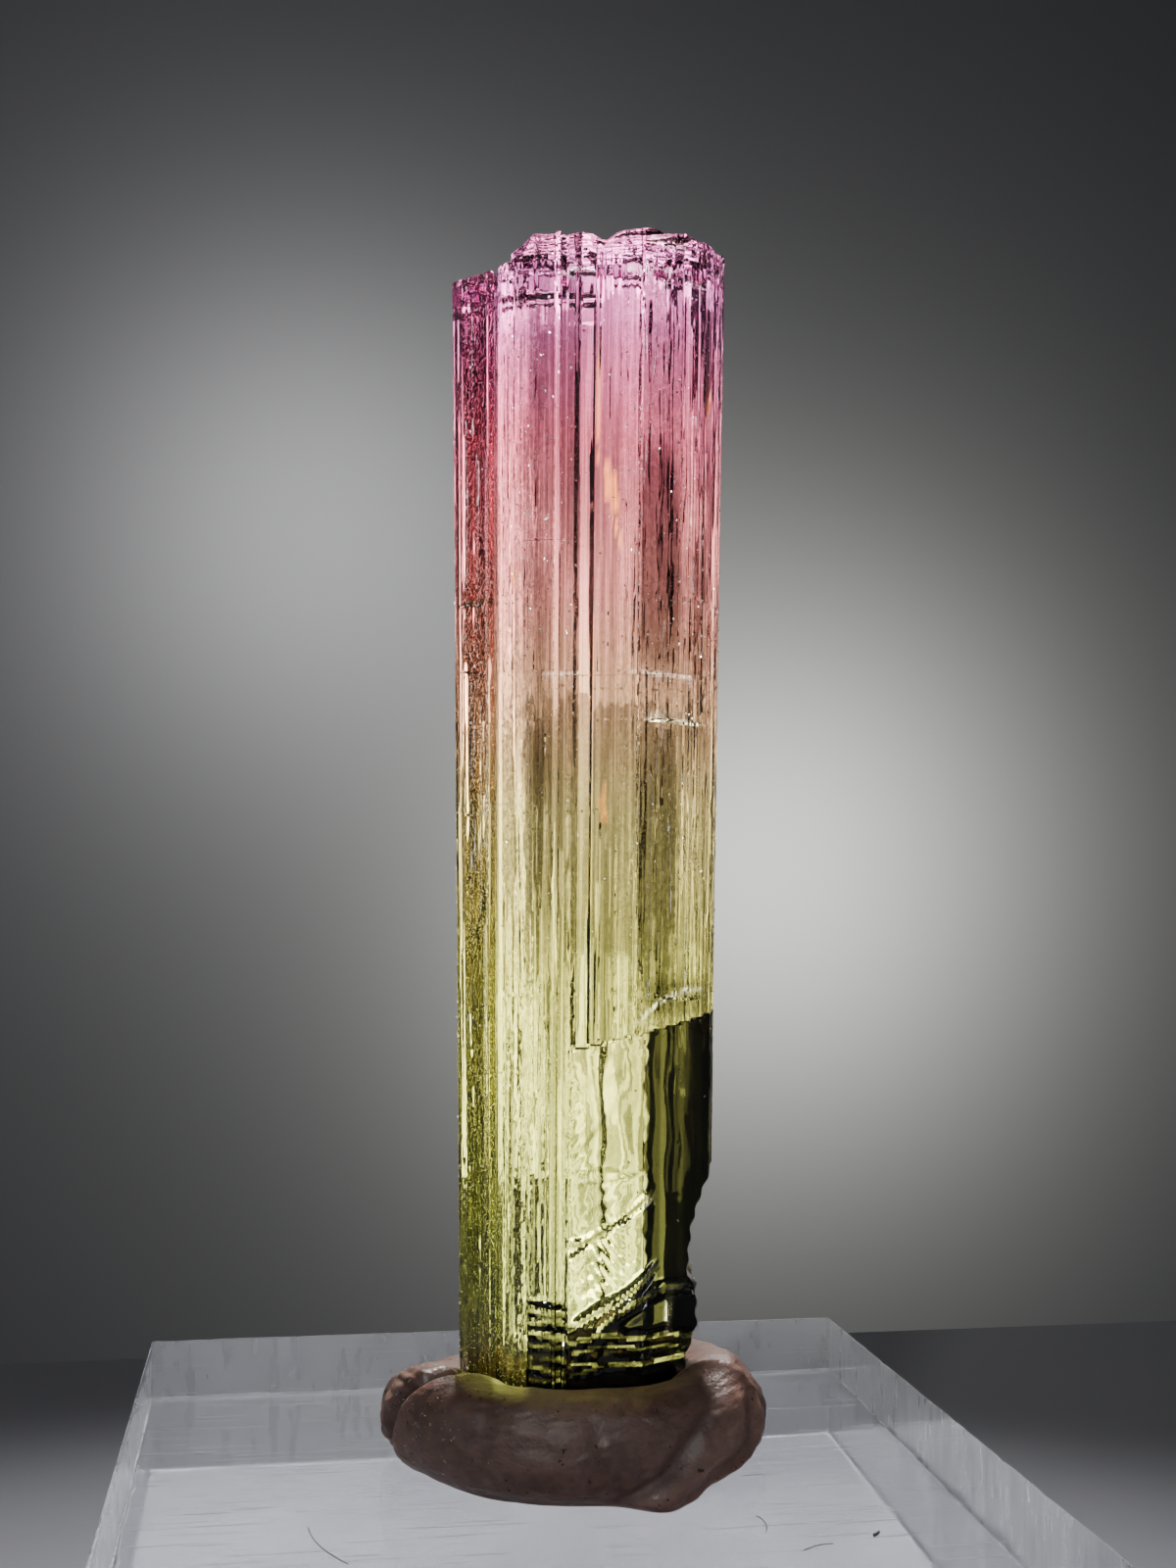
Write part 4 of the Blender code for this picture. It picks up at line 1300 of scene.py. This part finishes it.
putty.data.materials.append(putty_material())
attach(putty, "root")
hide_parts("mineral_tack")
dust = strewn_piece("putty_glints", putty.data, 9.0, (0.02, 0.05), 8, glint_material(),
                    (1.0, 0.7, 0.4))
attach(dust, "root")
print("putty material", putty.data.materials[0].name)

# %% [markdown]
# ## The clear display block
#
# The block was sawn from cast acrylic sheet: its two broad faces keep the sheet's gloss, and
# its sides keep the saw's marks. Use has worn its edges unevenly. A Bevel modifier would give
# an even edge, so each point near an edge is pulled onto a rounding whose radius wanders.

# %% Block with worn edges
EDGE_STEPS = [0.0, 0.05, 0.11, 0.18, 0.27, 0.40, 0.60]
EDGE_RADIUS, EDGE_WEAR = 0.16, 0.16
FACE_SPACING = 0.55


def spaced(length):
    """Places along an edge, crowded at both ends."""
    middle = np.linspace(EDGE_STEPS[-1], length - EDGE_STEPS[-1],
                         round((length - 2 * EDGE_STEPS[-1]) / FACE_SPACING) + 1)
    ends = np.array(EDGE_STEPS[:-1])
    return np.concatenate((ends, middle, length - ends[::-1]))


def worn(point, half):
    """Moves a point of the sharp block onto its worn surface."""
    scratch = noise.noise(point * 0.9) * 0.6 + noise.noise(point * 3.1) * 0.5
    chips = max(0.0, noise.noise(point * 1.3 + Vector((9, 4, 2))) - 0.35) * 0.8
    radius = EDGE_RADIUS + EDGE_WEAR * max(-0.6, scratch) * 0.5 + chips
    core = Vector([max(-h + radius, min(h - radius, p)) for h, p in zip(half, point)])
    off = point - core
    if off.length < 1e-9:
        return point
    return core + off.normalized() * min(off.length, radius)


def block_mesh():
    half = Vector((BLOCK_SIDE / 2, BLOCK_SIDE / 2, BLOCK_TOP / 2))
    shell = bmesh.new()
    for axis in range(3):
        first, second = [other for other in range(3) if other != axis]
        across, along = spaced(2 * half[first]), spaced(2 * half[second])
        for end in (-1, 1):
            grid = []
            for a in across:
                row = []
                for b in along:
                    point = Vector((0.0, 0.0, 0.0))
                    point[axis] = end * half[axis]
                    point[first] = a - half[first]
                    point[second] = b - half[second]
                    moved = worn(point, half) + Vector((0, 0, half.z))
                    row.append(shell.verts.new(moved * MM))
                grid.append(row)
            for i in range(len(across) - 1):
                for j in range(len(along) - 1):
                    corners = (grid[i][j], grid[i + 1][j], grid[i + 1][j + 1], grid[i][j + 1])
                    shell.faces.new(corners)
    bmesh.ops.remove_doubles(shell, verts=shell.verts, dist=1e-6)
    bmesh.ops.dissolve_degenerate(shell, dist=1e-7, edges=shell.edges)
    bmesh.ops.recalc_face_normals(shell, faces=shell.faces)
    return shell


shell = block_mesh()
open_edges = sum(1 for edge in shell.edges if len(edge.link_faces) != 2)
print("block volume", round(shell.calc_volume() * 1e9), "mm3, open edges", open_edges)
block = new_piece("display_block", [], [])
shell.to_mesh(block.data)
shell.free()
block.data.shade_smooth()
block.data.set_sharp_from_angle(angle=math.radians(40))

# %% [markdown]
# ## The block's finish
#
# Cast acrylic is clear with an index near 1.49. The direction that the surface faces tells the
# polished faces from the sawn ones, so one material covers both: the sides get the saw's upright
# lines and a blurred gloss, and the top gets fine hairline scratches in two directions.

# %% Acrylic material
ACRYLIC_IOR = 1.49


def acrylic_material():
    material, shader, place = new_material("clear_acrylic_sheet")
    facing = add_node(material, "ShaderNodeNewGeometry").outputs["Normal"]
    flat = add_node(
        material, "ShaderNodeMath", {0: part_of(material, facing, "Z")}, operation="ABSOLUTE"
    ).outputs["Value"]
    polished = ramp(material, flat, [(0.85, 0.0), (0.97, 1.0)])
    saw_place = scaled(material, place, (1.0, 1.0, 0.06))
    saw = noisy(material, saw_place, 1600.0, 3.0)
    saw_colour = noisy(material, saw_place, 1600.0, 3.0, "Color")
    hairs = []
    for turn in (0.35, -0.9):
        along = scaled(material, place, (0.03, 1.0, 1.0), (0.0, 0.0, turn))
        hairs.append(ramp(material, noisy(material, along, 3600.0, 1.0), [(0.70, 0.0), (0.74, 1.0)]))
    scratches = mixed(material, 1.0, *hairs, "LIGHTEN")
    haze = noisy(material, place, 120.0, 3.0)
    top_rough = ramp(material, haze, [(0.4, 0.03), (0.7, 0.10)])
    side_rough = ramp(material, saw, [(0.3, 0.22), (0.7, 0.42)])
    height = mixed(material, polished, saw_colour, scratches)
    feed(material, shader, {
        "Base Color": mixed(material, haze, (0.80, 0.81, 0.86), (0.74, 0.75, 0.81)),
        "Roughness": mixed(material, polished, side_rough, top_rough),
        "Normal": bumped(material, height, 0.20, 0.00003),
        "IOR": ACRYLIC_IOR,
        "Transmission Weight": 1.0,
    })
    return material


block.data.materials.append(acrylic_material())
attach(block, "root")
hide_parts("acrylic_block")
print("block material", block.data.materials[0].name)

# %% [markdown]
# ## Lint
#
# Four short dark fibres fell on the block beside the putty. Each one is a thin closed tube that
# bends along three points, because a real fibre is never straight and never quite flat.

# %% Fibres on the block
FIBRES = [
    ((6.4, -12.6), (6.8, -11.6), (6.5, -10.9), 0.022),
    ((7.3, -14.6), (8.0, -14.0), (8.6, -14.1), 0.018),
    ((-9.6, -13.4), (-10.9, -11.5), (-11.0, -9.6), 0.020),
    ((10.4, -13.6), (10.6, -13.5), (10.7, -13.3), 0.060),
]
FIBRE_STEPS, FIBRE_SIDES = 12, 6


def fibre_mesh():
    """Thin bent threads lying on the block, as closed tubes."""
    corners, faces = [], []
    for first, bend, last, radius in FIBRES:
        start = len(corners)
        for step in range(FIBRE_STEPS + 1):
            share = step / FIBRE_STEPS
            spot = [(1 - share) ** 2 * a + 2 * share * (1 - share) * b + share ** 2 * c
                    for a, b, c in zip(first, bend, last)]
            flow = Vector([(1 - share) * (b - a) + share * (c - b)
                           for a, b, c in zip(first, bend, last)]).normalized()
            for side in range(FIBRE_SIDES):
                turn = math.tau * side / FIBRE_SIDES
                out = math.cos(turn) * radius
                corners.append((spot[0] - flow.y * out, spot[1] + flow.x * out,
                                BLOCK_TOP + radius * 0.9 + math.sin(turn) * radius))
        for step in range(FIBRE_STEPS):
            low = start + step * FIBRE_SIDES
            for side in range(FIBRE_SIDES):
                after = (side + 1) % FIBRE_SIDES
                faces.append((low + side, low + after, low + FIBRE_SIDES + after,
                              low + FIBRE_SIDES + side))
        end = start + FIBRE_STEPS * FIBRE_SIDES
        faces.append(tuple(start + side for side in range(FIBRE_SIDES))[::-1])
        faces.append(tuple(end + side for side in range(FIBRE_SIDES)))
    return np.array(corners) * MM, faces


def dull_material(name, low, high, scale, detail=2.0):
    """A dull skin whose tone wanders between two shades."""
    material, shader, place = new_material(name)
    tone = ramp(material, noisy(material, place, scale, detail), [(0.3, low), (0.7, high)])
    feed(material, shader, {"Base Color": tone, "Roughness": 0.8})
    return material


corners, faces = fibre_mesh()
lint = new_piece("lint", corners, faces)
faced_outwards(lint.data)
lint.data.materials.append(dull_material("dark_lint", 0.03, 0.12, 2000.0))
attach(lint, "root")
print("lint has", len(lint.data.polygons), "faces")

# %% [markdown]
# ## Floor and backdrop
#
# The piece stands on a plain pale floor before a plain grey wall. The floor ends behind the
# block, so that lamps below its level can be seen through the crystal's foot and the block.

# %% Two plain sheets
FLOOR_DROP = 0.0002
FLOOR_FRONT, FLOOR_BACK, FLOOR_HALF = -0.6, 0.064, 0.5
WALL_AT, WALL_HALF, WALL_LOW, WALL_HIGH = 0.55, 1.5, -0.6, 1.2


def sheet(name, corners, material):
    piece = new_piece(name, corners, [(0, 1, 2, 3)])
    piece.data.materials.append(material)
    piece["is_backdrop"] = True
    return piece


ROUND = [(-1, 0), (1, 0), (1, 1), (-1, 1)]
floor_depth, wall_level = (FLOOR_FRONT, FLOOR_BACK), (WALL_LOW, WALL_HIGH)
sheet("floor", [(side * FLOOR_HALF, floor_depth[end], -FLOOR_DROP) for side, end in ROUND],
      dull_material("pale_floor", (0.33, 0.33, 0.36), (0.38, 0.38, 0.41), 3.0))
sheet("backdrop", [(side * WALL_HALF, WALL_AT, wall_level[end]) for side, end in ROUND],
      dull_material("grey_backdrop", (0.40, 0.40, 0.41), (0.44, 0.44, 0.45), 3.0))
print("stage sheets: floor and backdrop")

# %% [markdown]
# ## Lamps behind the crystal
#
# A clear crystal shows what stands behind it, bent and repeated by its faces. Two lamps throw
# soft round patches on the wall. The panels and strips stand nearer, all round the view through
# the crystal, and show only through the clear pieces: they are hidden from the camera, from
# mirror reflections and from dull surfaces. The gaps between the strips give the dark lines.

# %% Patches, strips and panels
def area_lamp(name, place, target, size, power, colour=(1.0, 1.0, 1.0), spread=180.0, behind=False):
    """A soft rectangular lamp aimed at a point; one behind only shows through clear pieces."""
    lamp = bpy.data.lights.new(name, "AREA")
    lamp.shape = "RECTANGLE"
    lamp.size, lamp.size_y = size
    lamp.energy = power
    lamp.color = colour
    lamp.spread = math.radians(spread)
    holder = bpy.data.objects.new(name, lamp)
    holder.location = place
    aim = Vector(target) - Vector(place)
    holder.rotation_euler = aim.to_track_quat("-Z", "Y").to_euler()
    holder.visible_camera = False
    holder.visible_glossy = not behind
    holder.visible_diffuse = not behind
    bpy.context.scene.collection.objects.link(holder)
    return holder


area_lamp("glow_right", (0.165, 0.445, 0.045), (0.165, WALL_AT, 0.04), (0.05, 0.05), 0.30,
          (1.0, 1.0, 0.92))
area_lamp("glow_left", (-0.005, 0.445, 0.165), (-0.005, WALL_AT, 0.165), (0.05, 0.05), 0.11)
COMB = [(-0.060, 0.036), (-0.036, 0.024), (-0.012, 0.044), (0.012, 0.030), (0.036, 0.050),
        (0.060, 0.026), (0.084, 0.040)]
for index, (across, top) in enumerate(COMB):
    area_lamp("low_strip_%d" % index, (across, 0.16, top / 2 - 0.030), (across * 0.8, 0.0, 0.0),
              (0.013, top + 0.060), 0.018, behind=True)
area_lamp("low_card", (0.03, 0.13, -0.046), (0.0, 0.0, 0.040), (0.14, 0.060), 0.50, behind=True)
PANELS = [
    ("under_panel", (0.025, 0.165, -0.072), (0.19, 0.080), 0.300),
    ("low_panel", (0.025, 0.175, -0.015), (0.19, 0.090), 0.110),
    ("middle_panel", (0.025, 0.165, 0.048), (0.19, 0.036), 0.040),
    ("upper_panel", (0.025, 0.165, 0.102), (0.19, 0.072), 0.235),
    ("high_panel", (0.028, 0.160, 0.134), (0.14, 0.018), 0.150),
    ("right_panel", (0.180, 0.160, 0.090), (0.090, 0.200), 0.600),
    ("left_panel", (-0.105, 0.150, 0.060), (0.050, 0.130), 0.070),
]
for name, place, size, power in PANELS:
    area_lamp(name, place, (0.0, 0.0, place[2]), size, power, behind=True)
SIDES = [(-0.115, 0.15), (-0.085, 0.15), (0.140, 0.14), (0.170, 0.13), (0.200, 0.10)]
for index, (across, depth) in enumerate(SIDES):
    area_lamp("side_strip_%d" % index, (across, depth, 0.070), (0.0, 0.0, 0.045),
              (0.010, 0.11), 0.030, behind=True)

# %% [markdown]
# ## Lamps above and in front, and the room
#
# Thin bright shapes make thin bright glints: narrow strips at four bearings draw upright lines
# on the ridges, a bar high in front draws the edges of the lying breaks, and a tiny lamp at the
# upper left lights only the flakes. A weak broad lamp and a dim bluish room do the rest.

# %% Strips, bar, sparkle and room
FRONT_STRIPS = [-89.0, -66.0, 31.0, 62.0]
STRIP_AWAY = 0.3
ROOM_COLOUR, ROOM_STRENGTH = (0.30, 0.31, 0.36, 1.0), 0.10

area_lamp("top_back", (0.02, 0.10, 0.18), (0.0, 0.0, 0.064), (0.03, 0.01), 0.06, spread=50.0)
for index, bearing in enumerate(FRONT_STRIPS):
    turn = math.radians(bearing)
    place = (STRIP_AWAY * math.sin(turn), -STRIP_AWAY * math.cos(turn), 0.06)
    area_lamp("front_strip_%d" % index, place, (0.0, 0.0, 0.045), (0.003, 0.20), 0.035)
area_lamp("front_bar", (-0.03, -0.17, 0.26), (0.0, 0.0, 0.02), (0.16, 0.004), 0.04)
area_lamp("front_fill", (-0.15, -0.5, 0.35), (0.0, 0.0, 0.03), (0.5, 0.5), 0.12)
sparkle = area_lamp("sparkle", (-0.12, -0.24, 0.20), (0.0, 0.0, 0.050), (0.02, 0.02), 0.020,
                    spread=14.0)
sparkle.visible_diffuse = False
sparkle.visible_transmission = False

world = bpy.data.worlds.new("dim_room")
world.use_nodes = True
background = world.node_tree.nodes["Background"]
background.inputs["Color"].default_value = ROOM_COLOUR
background.inputs["Strength"].default_value = ROOM_STRENGTH
bpy.context.scene.world = world

# %% [markdown]
# ## The size of the dressed piece
#
# The dressed piece has to fill the same space as the solids, so both boxes are printed at
# the end.

# %% Size of both boxes
VISUAL_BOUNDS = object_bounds()
sizes = {
    "cad": [list(corner) for corner in CAD_BOUNDS],
    "visual": [list(corner) for corner in VISUAL_BOUNDS],
}
for name, corners in sizes.items():
    print(name, [[round(value / MM, 2) for value in corner] for corner in corners])
